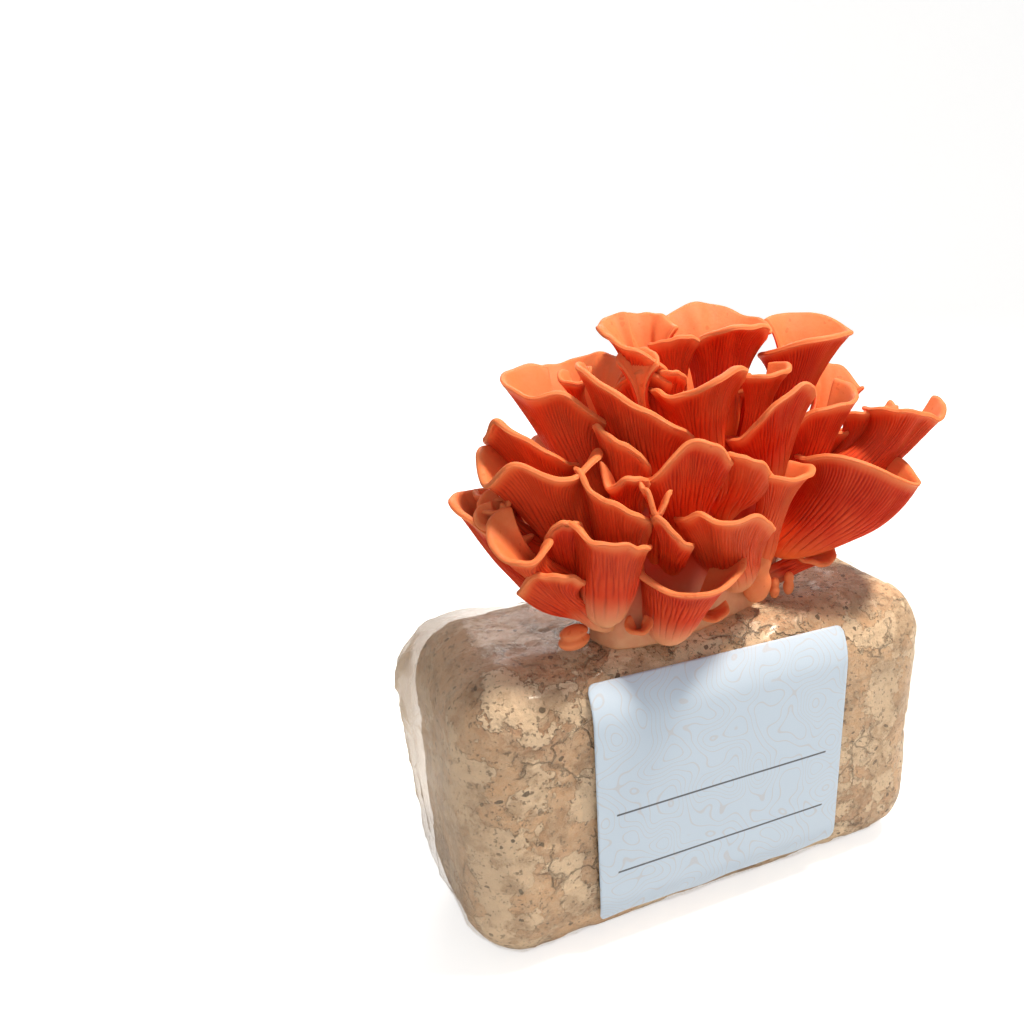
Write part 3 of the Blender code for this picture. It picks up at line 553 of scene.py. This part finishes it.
def gilled_cap(cap, sizes):
    """A cap and its stem as one closed skin.

    The gill side and the upper side are the middle of the flesh moved out and in along its normals by half
    the thickness: a round stem low down, thin flesh above, and a rounded edge where the half thickness
    falls to nothing as the square root. The gill side is then cut by grooves that run up it. Every fourth
    groove starts at the stem, every second one a third of the way up, and the rest near the lip."""
    roll = min(sizes.lip_roll / MM, cap.radius * 0.12)
    flesh = min(sizes.flesh / MM, 1.3 + cap.radius * 0.085) / 2
    length = 2 * math.radians(cap.wrap) * cap.radius
    gills = max(6, int(round(length / (sizes.gill_gap / MM) / 4))) * 4
    columns = gills * 4 + 1
    t = np.linspace(-1, 1, columns)
    t = np.sign(t) * (1 - (1 - np.abs(t)) ** 1.06)
    u = np.concatenate([np.linspace(0, 1, 34) ** 0.85, 1 + np.linspace(0, 1, 9)[1:] ** 0.9])
    uu, tt = np.meshgrid(u, t, indexing="ij")
    middle = cap_profile(cap, uu, tt, roll)
    normal = grid_normals(middle)
    steps_up = np.linalg.norm(np.diff(middle, axis=0), axis=-1)
    length_up = np.concatenate([np.zeros((1, columns)), steps_up.cumsum(0)])
    to_lip = length_up[-1:] - length_up
    from_side = (1 - np.abs(tt)) * length / 2 * smooth_step(uu, 0.0, 0.9)
    stem = min(STEM_RADIUS, cap.radius * 0.34)
    low = 1 - smooth_step(uu, 0.05, 0.50)
    thick = flesh * (1 - low) + low * np.maximum(stem * np.cos(tt * math.pi / 2) * 0.9, 0.9)
    edge = np.sqrt(np.clip(1 - (1 - np.clip(to_lip / (flesh * 1.3), 0, 1)) ** 2, 0, 1))
    rim = np.sqrt(np.clip(1 - (1 - np.clip(from_side / flesh, 0, 1)) ** 2, 0, 1))
    rim = np.maximum(rim, low * 0.8)
    thick = thick * edge * rim
    sway = 0.35 * np.sin(uu * 6 + tt * 9) + 0.2 * np.sin(uu * 11 + tt * 31)
    place = (tt + 1) / 2 * gills + sway * smooth_step(uu, 0, 0.4)
    crowd = smooth_step(uu, 0.16, 0.30), smooth_step(uu, 0.40, 0.58), smooth_step(uu, 0.62, 0.78)

    def groove(every):
        near = np.abs((place / every + 0.5) % 1 - 0.5) * every
        return np.clip(1 - near / 0.55, 0, 1) ** 1.2

    cutting = np.maximum(np.maximum(crowd[0] * groove(4), crowd[1] * groove(2)), crowd[2] * groove(1))
    uneven = value_noise(np.stack([place / 1.7, uu * 2.2, 0 * uu], -1), 1.0, 5)
    cutting = cutting * (0.72 + 0.28 * uneven)
    ends = smooth_step(to_lip, 1.6 + roll * 0.6, 5.5 + roll) * smooth_step(from_side, 0.3, 2.5)
    cutting = cutting * ends
    depth = sizes.gill_depth / MM * min(1.0, 0.45 + cap.radius / 30)
    gill_side = middle + normal * (thick - depth * cutting)[..., None]
    upper = middle - normal * thick[..., None]
    upper = upper - normal * (0.28 * layered_noise(upper, 9.0, 3, 7) * edge * rim)[..., None]
    rows, count = uu.shape[0], uu.size
    border, onward = rim_steps(rows, columns)
    around = np.stack([onward, border, border + count, onward + count], -1)
    gilled, smooth = grid_quads(rows, columns), grid_quads(rows, columns, first=count)[:, ::-1]
    points = np.concatenate([gill_side.reshape(-1, 3), upper.reshape(-1, 3)])
    made = put_mesh(cap.name + "_flesh", points, np.concatenate([gilled, smooth, around]))
    share = np.clip(uu, 0, 1)
    # The side mask marks the gill side, which the material paints in the deep gill colour, partly painted
    # shade.
    side = smooth_step(to_lip, 0.6, 3.4 + roll)
    # The gill mask, the depth of the grooves, is where the flesh material paints shade.
    masks = (("gill", cutting, 0 * uu), ("side", side, 0 * uu), ("reach", share, share))
    for mask, gill_values, upper_values in masks:
        put_mask(made, mask, np.concatenate([gill_values.ravel(), upper_values.ravel()]))
    tone = (sum(ord(letter) for letter in cap.name) * 37 % 100) / 100
    put_mask(made, "tone", np.full(len(points), tone))
    return made


def bud_body(name, centre, spans, yaw):
    """A bud: an ellipsoid with a waist, its half width a power of the latitude's cosine, turned by yaw."""
    rows, columns = 40, 56
    lat = np.linspace(-1.5, 1.5, rows)[:, None]
    turn = np.linspace(0, 2 * math.pi, columns, endpoint=False)[None, :]
    waist = 1 - 0.22 * np.exp(-(((lat - 0.15) / 0.25) ** 2))
    x = spans[0] * np.cos(lat) ** 0.8 * np.cos(turn) * waist
    y = spans[1] * np.cos(lat) ** 0.8 * np.sin(turn) * waist
    a = math.radians(yaw)
    z = np.broadcast_to(spans[2] * np.sin(lat), x.shape)
    grid = np.stack([x * math.cos(a) - y * math.sin(a), x * math.sin(a) + y * math.cos(a), z], -1)
    made = put_loft(name + "_flesh", grid * 0.97 + np.array(centre))
    count = rows * columns + 2
    reach = np.broadcast_to(0.3 + 0.35 * (np.sin(lat) + 1) / 2, x.shape)
    put_mask(made, "reach", np.concatenate([reach.ravel(), [0.3, 0.6]]))
    for mask in ("gill", "side"):
        put_mask(made, mask, np.zeros(count))
    put_mask(made, "tone", np.full(count, 0.3))
    return made


# Node groups and materials


def add_node(tree, kind, settings=None, **inputs):
    """A node with its settings and its inputs; an input is a value or another node's output."""
    made = tree.nodes.new(kind)
    for name, value in (settings or {}).items():
        setattr(made, name, value)
    for name, value in inputs.items():
        key = int(name[1:]) if name[0] == "_" and name[1:].isdigit() else name.replace("_", " ")
        if isinstance(value, bpy.types.NodeSocket):
            tree.links.new(value, made.inputs[key])
        else:
            made.inputs[key].default_value = value
    return made


def new_group(name, inputs, outputs):
    """An empty shader group: a Vector and numbers with their defaults go in, numbers come out."""
    group = bpy.data.node_groups.new(name, "ShaderNodeTree")
    group.interface.new_socket("Vector", in_out="INPUT", socket_type="NodeSocketVector")
    for label, default in inputs.items():
        made = group.interface.new_socket(label, in_out="INPUT", socket_type="NodeSocketFloat")
        made.default_value = default
    for label in outputs:
        group.interface.new_socket(label, in_out="OUTPUT", socket_type="NodeSocketFloat")
    return group, group.nodes.new("NodeGroupInput"), group.nodes.new("NodeGroupOutput")


def ramp(tree, value, low, high):
    """A smooth mask that goes from 0 at low to 1 at high."""
    smooth = {"interpolation_type": "SMOOTHSTEP"}
    made = add_node(tree, "ShaderNodeMapRange", smooth, Value=value, From_Min=low, From_Max=high)
    return made.outputs["Result"]


def math_node(tree, operation, a, b=0.0):
    return add_node(tree, "ShaderNodeMath", {"operation": operation}, _0=a, _1=b).outputs[0]


def scaled(tree, value, amount):
    return math_node(tree, "MULTIPLY", value, amount)


def blend(tree, share, first, second):
    """Two colours mixed by a share."""
    made = tree.nodes.new("ShaderNodeMix")
    made.data_type = "RGBA"
    for key, value in ((0, share), (6, first), (7, second)):
        if isinstance(value, bpy.types.NodeSocket):
            tree.links.new(value, made.inputs[key])
        else:
            made.inputs[key].default_value = value if key == 0 else (*value, 1.0)
    return made.outputs[2]


def wash(tree, mask, amount, under, over):
    """A colour with an amount of another one laid over it where a mask is."""
    return blend(tree, scaled(tree, mask, amount), under, over)


def relief(tree, shader, height, strength, distance):
    """A bump from a height, on the shader's Normal."""
    made = add_node(tree, "ShaderNodeBump", Height=height, Strength=strength, Distance=distance)
    tree.links.new(made.outputs[0], shader.inputs["Normal"])


def warped(group, given, amount, **noise):
    """The group's Vector pushed about by noise."""
    warp = add_node(group, "ShaderNodeTexNoise", Vector=given.outputs["Vector"], **noise)
    scale, add = {"operation": "SCALE"}, {"operation": "ADD"}
    shift = add_node(group, "ShaderNodeVectorMath", scale, _0=warp.outputs["Color"], Scale=amount)
    made = add_node(group, "ShaderNodeVectorMath", add, _0=given.outputs["Vector"], _1=shift.outputs[0])
    return made.outputs[0]


def patches(name):
    """Soft-edged patches: a mask for mottling, and the noise that it is cut from."""
    inputs = {"Scale": 40.0, "Level": 0.5, "Softness": 0.1}
    group, given, result = new_group(name, inputs, ("Mask", "Height"))
    place, scale = given.outputs["Vector"], given.outputs["Scale"]
    noise = add_node(group, "ShaderNodeTexNoise", Vector=place, Scale=scale, Detail=5.0, Roughness=0.6)
    low = math_node(group, "SUBTRACT", given.outputs["Level"], given.outputs["Softness"])
    high = math_node(group, "ADD", given.outputs["Level"], given.outputs["Softness"])
    group.links.new(ramp(group, noise.outputs[0], low, high), result.inputs["Mask"])
    group.links.new(noise.outputs[0], result.inputs["Height"])
    return group


def specks(name):
    """Scattered small specks: round dots in a share of the cells, the ones with a low random value."""
    inputs = {"Scale": 300.0, "Share": 0.2, "Size": 0.3}
    group, given, result = new_group(name, inputs, ("Mask",))
    place = warped(group, given, 0.004, Scale=220.0)
    cells = add_node(group, "ShaderNodeTexVoronoi", Vector=place, Scale=given.outputs["Scale"])
    dot = math_node(group, "LESS_THAN", cells.outputs["Distance"], given.outputs["Size"])
    apart = add_node(group, "ShaderNodeSeparateColor", Color=cells.outputs["Color"])
    some = math_node(group, "LESS_THAN", apart.outputs[0], given.outputs["Share"])
    group.links.new(math_node(group, "MULTIPLY", dot, some), result.inputs["Mask"])
    return group


def cracks(name):
    """Thin wandering cracks: the borders of warped cells, kept only in some places."""
    group, given, result = new_group(name, {"Scale": 60.0, "Width": 0.04}, ("Mask",))
    place = warped(group, given, 0.02, Scale=90.0, Detail=4.0)
    border = {"feature": "DISTANCE_TO_EDGE"}
    cells = add_node(group, "ShaderNodeTexVoronoi", border, Vector=place, Scale=given.outputs["Scale"])
    line = ramp(group, cells.outputs["Distance"], given.outputs["Width"], 0.0)
    some = add_node(group, "ShaderNodeTexNoise", Vector=given.outputs["Vector"], Scale=28.0, Detail=2.0)
    kept_line = math_node(group, "MULTIPLY", line, ramp(group, some.outputs[0], 0.48, 0.6))
    group.links.new(kept_line, result.inputs["Mask"])
    return group


def use_group(tree, build, **inputs):
    """A group placed in a material with its own values; it is built when it is first used."""
    name = build.__name__.title()
    made = tree.nodes.new("ShaderNodeGroup")
    made.node_tree = bpy.data.node_groups.get(name) or build(name)
    for name, value in inputs.items():
        if isinstance(value, bpy.types.NodeSocket):
            tree.links.new(value, made.inputs[name])
        else:
            made.inputs[name].default_value = value
    return made.outputs


def mottle(tree, where, scale, level=0.5, softness=0.1):
    """The patches group in a material: its Mask and its Height."""
    return use_group(tree, patches, Vector=where, Scale=scale, Level=level, Softness=softness)


def new_material(name, roughness, **fixed):
    """A material with a Principled shader, its fixed values set on the shader's own sockets."""
    made = bpy.data.materials.new(name)
    made.use_nodes = True
    tree = made.node_tree
    shader = tree.nodes["Principled BSDF"]
    shader.inputs["Roughness"].default_value = roughness
    for label, value in fixed.items():
        shader.inputs[label.replace("_", " ")].default_value = value
    return made, tree, shader


def object_place(tree):
    return tree.nodes.new("ShaderNodeTexCoord").outputs["Object"]


def connect(tree, value, shader, label):
    tree.links.new(value, shader.inputs[label])


def read_mask(tree, name):
    return add_node(tree, "ShaderNodeAttribute", {"attribute_name": name}).outputs["Fac"]


def flesh_material(colours, name, stem, paleness):
    """Coral mushroom flesh: painted shade deep between the gills, lighter along them; a deep gill side and a
    velvety, paler upper side and lip, partly their own colours and partly painted shade beneath and painted
    light from above;
    fading at the foot of the stem to the stem colour given: peach on low caps and buds, a painted glow on
    high caps."""
    under = {"Subsurface_Weight": 0.22, "Subsurface_Scale": 0.004, "Subsurface_Radius": (1.0, 0.30, 0.12)}
    made, tree, shader = new_material(name, 0.56, Specular_IOR_Level=0.22, **under)
    where = object_place(tree)
    gill, side, reach, tone = (read_mask(tree, label) for label in ("gill", "side", "reach", "tone"))
    cloud = mottle(tree, where, 70.0, 0.52, 0.16)
    fine = mottle(tree, where, 900.0, 0.5, 0.2)
    fleck = use_group(tree, specks, Vector=where, Scale=420.0, Share=0.10, Size=0.33)
    ridge = wash(tree, cloud["Mask"], 0.35, colours.gill, (0.80, 0.12, 0.03))
    # Painted shade: the gill mask blends the darker groove colour into the grooves.
    gilled = blend(tree, gill, ridge, colours.groove)
    velvet_with_painted_light = wash(tree, cloud["Mask"], 0.4, colours.upper, (0.76, 0.15, 0.045))
    velvet_with_painted_light = wash(tree, fleck["Mask"], 0.35, velvet_with_painted_light, (0.55, 0.07, 0.02))
    velvet_with_painted_light = wash(tree, fine["Mask"], 0.18, velvet_with_painted_light, (0.88, 0.34, 0.15))
    # Gill side against upper side: partly their own colours, partly painted shade beneath and painted light
    # on top.
    colour = blend(tree, side, velvet_with_painted_light, gilled)
    # Towards the stem the given stem colour: pale peach on low caps and buds, the painted glow on high caps.
    stemward = ramp(tree, reach, 0.50, 0.05)
    colour = wash(tree, stemward, paleness, colour, stem)
    tint = ramp(tree, tone, 0.0, 1.0)
    colour = wash(tree, tint, 0.22, colour, (0.86, 0.22, 0.07))
    connect(tree, colour, shader, "Base Color")
    rough = add_node(tree, "ShaderNodeMapRange", Value=fine["Height"], To_Min=0.46, To_Max=0.68).outputs[0]
    connect(tree, rough, shader, "Roughness")
    relief(tree, shader, fine["Height"], 0.22, 0.0004)
    return made


def foot_material(colours):
    """The fused stems: coral above and peach where they meet the block."""
    under = {"Subsurface_Weight": 0.2, "Subsurface_Scale": 0.004, "Subsurface_Radius": (1.0, 0.35, 0.16)}
    made, tree, shader = new_material("fused_stems", 0.6, **under)
    where = object_place(tree)
    reach = read_mask(tree, "reach")
    cloud = mottle(tree, where, 90.0, 0.5, 0.15)
    # Above, the deep gill colour, which carries its painted shade into the fused stems.
    colour = blend(tree, ramp(tree, reach, 0.02, 0.30), colours.stem, colours.gill)
    colour = wash(tree, cloud["Mask"], 0.35, colour, (0.60, 0.11, 0.04))
    connect(tree, colour, shader, "Base Color")
    relief(tree, shader, cloud["Height"], 0.3, 0.001)
    return made


def crust_material(colours):
    """Sawdust grown through with mycelium: cream crust, tan and grey-brown patches, dark specks, pale
    flakes and thin cracks."""
    made, tree, shader = new_material("mycelium_crust", 0.75, Coat_Weight=0.55, Coat_Roughness=0.22)
    where = object_place(tree)
    broad = mottle(tree, where, 24.0, 0.52, 0.08)
    middle = mottle(tree, where, 70.0, 0.54, 0.05)
    flake = mottle(tree, where, 48.0, 0.50, 0.008)
    fine = mottle(tree, where, 300.0, 0.5, 0.10)
    grit = mottle(tree, where, 520.0, 0.60, 0.03)
    dark = use_group(tree, specks, Vector=where, Scale=210.0, Share=0.22, Size=0.22)
    pale = use_group(tree, specks, Vector=where, Scale=150.0, Share=0.20, Size=0.42)
    split = use_group(tree, cracks, Vector=where, Scale=42.0, Width=0.035)
    colour = colours.cream
    washes = (
        (broad, 0.80, (0.46, 0.26, 0.15)),
        (flake, 0.85, (0.88, 0.68, 0.47)),
        (middle, 0.62, colours.tan),
        (fine, 0.35, (0.74, 0.56, 0.38)),
        (pale, 0.35, (0.80, 0.60, 0.40)),
        (grit, 0.75, (0.16, 0.10, 0.055)),
        (dark, 0.85, (0.075, 0.045, 0.02)),
        (split, 0.40, (0.15, 0.085, 0.035)),
    )
    for pattern, amount, over in washes:
        colour = wash(tree, pattern["Mask"], amount, colour, over)
    connect(tree, colour, shader, "Base Color")
    height = math_node(tree, "ADD", fine["Height"], scaled(tree, flake["Mask"], 0.5))
    height = math_node(tree, "SUBTRACT", height, scaled(tree, split["Mask"], 0.8))
    relief(tree, shader, height, 1.0, 0.0022)
    return made


def film_material():
    """Clear film with a milky cast where it hangs loose, a painted highlight along the tops of its wrinkles,
    and a milky edge at glancing angles that is partly its haze and partly painted sheen.
    """
    made, tree, shader = new_material("clear_film", 0.12, IOR=1.5, Base_Color=(0.84, 0.66, 0.48, 1))
    where = object_place(tree)
    loose, crest = read_mask(tree, "loose"), read_mask(tree, "crest")
    haze = mottle(tree, where, 75.0, 0.5, 0.2)
    # Painted sheen: the film grows more opaque at glancing angles, partly its own haze.
    edge = tree.nodes.new("ShaderNodeLayerWeight")
    edge.inputs["Blend"].default_value = 0.35
    # Opacity of the film's pale colour: milky where the film hangs loose, painted highlight on the wrinkle
    # tops, painted sheen at glancing angles, and a faint haze.
    cast = scaled(tree, loose, 0.34)
    painted_crest_highlight = ramp(tree, crest, 0.55, 0.95)
    for mask, amount in ((painted_crest_highlight, 0.30), (haze["Mask"], 0.02), (edge.outputs["Fresnel"], 0.10)):
        cast = math_node(tree, "ADD", cast, scaled(tree, mask, amount))
    cast = math_node(tree, "ADD", cast, 0.02)
    connect(tree, math_node(tree, "MINIMUM", cast, 0.85), shader, "Alpha")
    relief(tree, shader, haze["Height"], 0.55, 0.003)
    return made


def paper_material(colours):
    """Pale label paper with a faint printed pattern of contour lines and two thin rules."""
    made, tree, shader = new_material("label_paper", 0.62, Specular_IOR_Level=0.25)
    where = add_node(tree, "ShaderNodeUVMap", {"uv_map": "paper"}).outputs[0]
    fibre = mottle(tree, where, 160.0, 0.5, 0.25)
    swirl = add_node(tree, "ShaderNodeTexNoise", Vector=where, Scale=4.0, Detail=1.0)
    level = scaled(tree, swirl.outputs[0], 22.0)
    line = math_node(tree, "ABSOLUTE", math_node(tree, "SUBTRACT", math_node(tree, "FRACT", level), 0.5))
    contour = ramp(tree, line, 0.10, 0.03)
    colour = wash(tree, contour, 0.38, colours.paper, (0.58, 0.52, 0.52))
    colour = wash(tree, fibre["Mask"], 0.12, colour, (0.78, 0.85, 0.92))
    apart = add_node(tree, "ShaderNodeSeparateXYZ", Vector=where)
    across = apart.outputs[0]
    within = math_node(tree, "MULTIPLY", ramp(tree, across, 0.075, 0.080), ramp(tree, across, 1.025, 1.020))
    for height in (0.38, 0.12):
        away = math_node(tree, "ABSOLUTE", math_node(tree, "SUBTRACT", apart.outputs[1], height))
        rule = math_node(tree, "MULTIPLY", ramp(tree, away, 0.0045, 0.0035), within)
        colour = wash(tree, rule, 0.85, colour, (0.045, 0.04, 0.05))
    connect(tree, colour, shader, "Base Color")
    relief(tree, shader, fibre["Height"], 0.08, 0.0004)
    return made


# The studio


def set_floor(pale):
    """It glows for the camera alone."""
    s = np.linspace(0, 1, 40)
    reach, run, bend = 6, 1.6, 0.8
    flat = np.stack([-reach + (reach + run) * s, 0 * s], -1)
    turn = s * math.pi / 2
    curve = np.stack([run + bend * np.sin(turn), bend * (1 - np.cos(turn))], -1)[1:]
    path = np.concatenate([flat, curve, [[run + bend, bend + 2.5]]])
    x = np.linspace(-reach, reach, 9)
    size = (len(path), len(x))
    sides = [np.broadcast_to(line, size) for line in (x[None, :], path[:, :1], path[:, 1:])]
    floor = put_mesh("studio_floor", np.stack(sides, -1).reshape(-1, 3) / MM, grid_quads(*size))
    made, tree, shader = new_material("floor_paper", 0.75, Emission_Color=(1, 1, 1, 1))
    grain = mottle(tree, object_place(tree), 3.0)
    connect(tree, wash(tree, grain["Mask"], 0.05, pale, (0.9, 0.9, 0.9)), shader, "Base Color")
    seen = tree.nodes.new("ShaderNodeLightPath").outputs["Is Camera Ray"]
    connect(tree, scaled(tree, seen, 0.7), shader, "Emission Strength")
    floor.data.materials.append(made)


def set_lights(scene):
    """A small warm key from above, two broad soft lamps and a pale surround."""
    scene.world = world = scene.world or bpy.data.worlds.new("studio")
    world.use_nodes = True
    around = world.node_tree.nodes["Background"].inputs
    around[0].default_value, around[1].default_value = SURROUND
    for name, place, size, power, tint in LAMPS:
        lamp = bpy.data.lights.new(name, "AREA")
        lamp.size, lamp.energy, lamp.color = size, power, tint
        holder = bpy.data.objects.new(name, lamp)
        holder.location = place
        toward = Vector(LAMPS_TARGET) - Vector(place)
        holder.rotation_euler = toward.to_track_quat("-Z", "Y").to_euler()
        scene.collection.objects.link(holder)


def set_camera(scene):
    """A camera that looks down on the front corner from CAMERA_AWAY metres."""
    turn, lift = math.radians(CAMERA_TURN), math.radians(CAMERA_LIFT)
    back = Vector((math.sin(turn) * math.cos(lift), -math.cos(turn) * math.cos(lift), math.sin(lift)))
    lens = bpy.data.cameras.new("camera")
    lens.sensor_width, lens.lens, lens.clip_start = 36.0, CAMERA_LENS, 0.01
    lens.shift_x, lens.shift_y = CAMERA_SHIFT
    holder = bpy.data.objects.new("camera", lens)
    holder.location = Vector(CAMERA_TARGET) + back * CAMERA_AWAY
    holder.rotation_euler = (-back).to_track_quat("-Z", "Y").to_euler()
    scene.collection.objects.link(holder)
    scene.camera = holder
    scene.view_settings.view_transform = "Standard"


# The add-on's steps


def finish_piece(thing, node, material):
    """Give a piece its material, let it ride on the frame, and let it stand for its node."""
    thing.data.materials.append(material)
    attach(thing, "root")
    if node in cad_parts:
        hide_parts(node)
        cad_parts[node].data.materials.clear()
        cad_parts[node].data.materials.append(material)


class KIT_OT_block(Operator):
    """Build the block of sawdust and mycelium"""

    bl_idname = "kit.block"
    bl_label = "Block"

    def execute(self, context):
        sizes = context.scene.kit_sizes
        colours = context.scene.kit_colours
        made = crumbled_block(sizes.crumb / MM)
        finish_piece(made, "substrate_block", crust_material(colours))
        return {"FINISHED"}


class KIT_OT_bag(Operator):
    """Wrap the block in its film"""

    bl_idname = "kit.bag"
    bl_label = "Bag"

    def execute(self, context):
        sizes = context.scene.kit_sizes
        finish_piece(wrapped_film(sizes.wrinkle / MM), "grow_bag", film_material())
        return {"FINISHED"}


class KIT_OT_label(Operator):
    """Lay the label on the film's front"""

    bl_idname = "kit.label"
    bl_label = "Label"

    def execute(self, context):
        colours = context.scene.kit_colours
        finish_piece(label_sheet(), "paper_label", paper_material(colours))
        return {"FINISHED"}


class KIT_OT_foot(Operator):
    """Grow the foot that the stems share"""

    bl_idname = "kit.foot"
    bl_label = "Shared foot"

    def execute(self, context):
        colours = context.scene.kit_colours
        finish_piece(shared_foot(), "cluster_foot", foot_material(colours))
        return {"FINISHED"}


class KIT_OT_caps(Operator):
    """Grow the caps with their stems"""

    bl_idname = "kit.caps"
    bl_label = "Caps"

    def execute(self, context):
        sizes = context.scene.kit_sizes
        colours = context.scene.kit_colours
        # The high caps' stems take the painted glow; the low caps' pale stem is their own colour.
        near = flesh_material(colours, "coral_flesh_low", colours.stem, 0.85)
        high = flesh_material(colours, "coral_flesh", colours.glow, 0.75)
        for cap in CAPS:
            flesh = near if cap.root[2] < LOW_ROOT else high
            finish_piece(gilled_cap(cap, sizes), cap.name, flesh)
        return {"FINISHED"}


class KIT_OT_buds(Operator):
    """Grow the unopened buds"""

    bl_idname = "kit.buds"
    bl_label = "Buds"

    def execute(self, context):
        colours = context.scene.kit_colours
        flesh = flesh_material(colours, "bud_flesh", colours.stem, 0.5)
        for bud in BUDS:
            finish_piece(bud_body(*bud), bud[0], flesh)
        return {"FINISHED"}


class KIT_OT_stage(Operator):
    """Set the floor, the lights and the camera"""

    bl_idname = "kit.stage"
    bl_label = "Stage"

    def execute(self, context):
        colours = context.scene.kit_colours
        set_floor(tuple(colours.floor))
        set_lights(context.scene)
        set_camera(context.scene)
        return {"FINISHED"}


class KIT_PT_panel(Panel):
    bl_idname = "KIT_PT_panel"
    bl_label = "Grow kit"
    bl_space_type = "VIEW_3D"
    bl_region_type = "UI"
    bl_category = "Grow kit"

    def draw(self, context):
        for group in (context.scene.kit_sizes, context.scene.kit_colours):
            for label in group.__annotations__:
                self.layout.prop(group, label)
        for step in STEPS:
            self.layout.operator(step.bl_idname)


STEPS = (KIT_OT_block, KIT_OT_bag, KIT_OT_label, KIT_OT_foot, KIT_OT_caps, KIT_OT_buds, KIT_OT_stage)


def register():
    for made in (KitSizes, KitColours, *STEPS, KIT_PT_panel):
        bpy.utils.register_class(made)
    bpy.types.Scene.kit_sizes = PointerProperty(type=KitSizes)
    bpy.types.Scene.kit_colours = PointerProperty(type=KitColours)


def unregister():
    del bpy.types.Scene.kit_sizes, bpy.types.Scene.kit_colours
    for made in (KIT_PT_panel, *reversed(STEPS), KitColours, KitSizes):
        bpy.utils.unregister_class(made)


def main():
    register()
    kit_ops = bpy.ops.kit
    for step in (
        kit_ops.block, kit_ops.bag, kit_ops.label, kit_ops.foot, kit_ops.caps, kit_ops.buds, kit_ops.stage
    ):
        step()


if __name__ == "__main__":
    main()
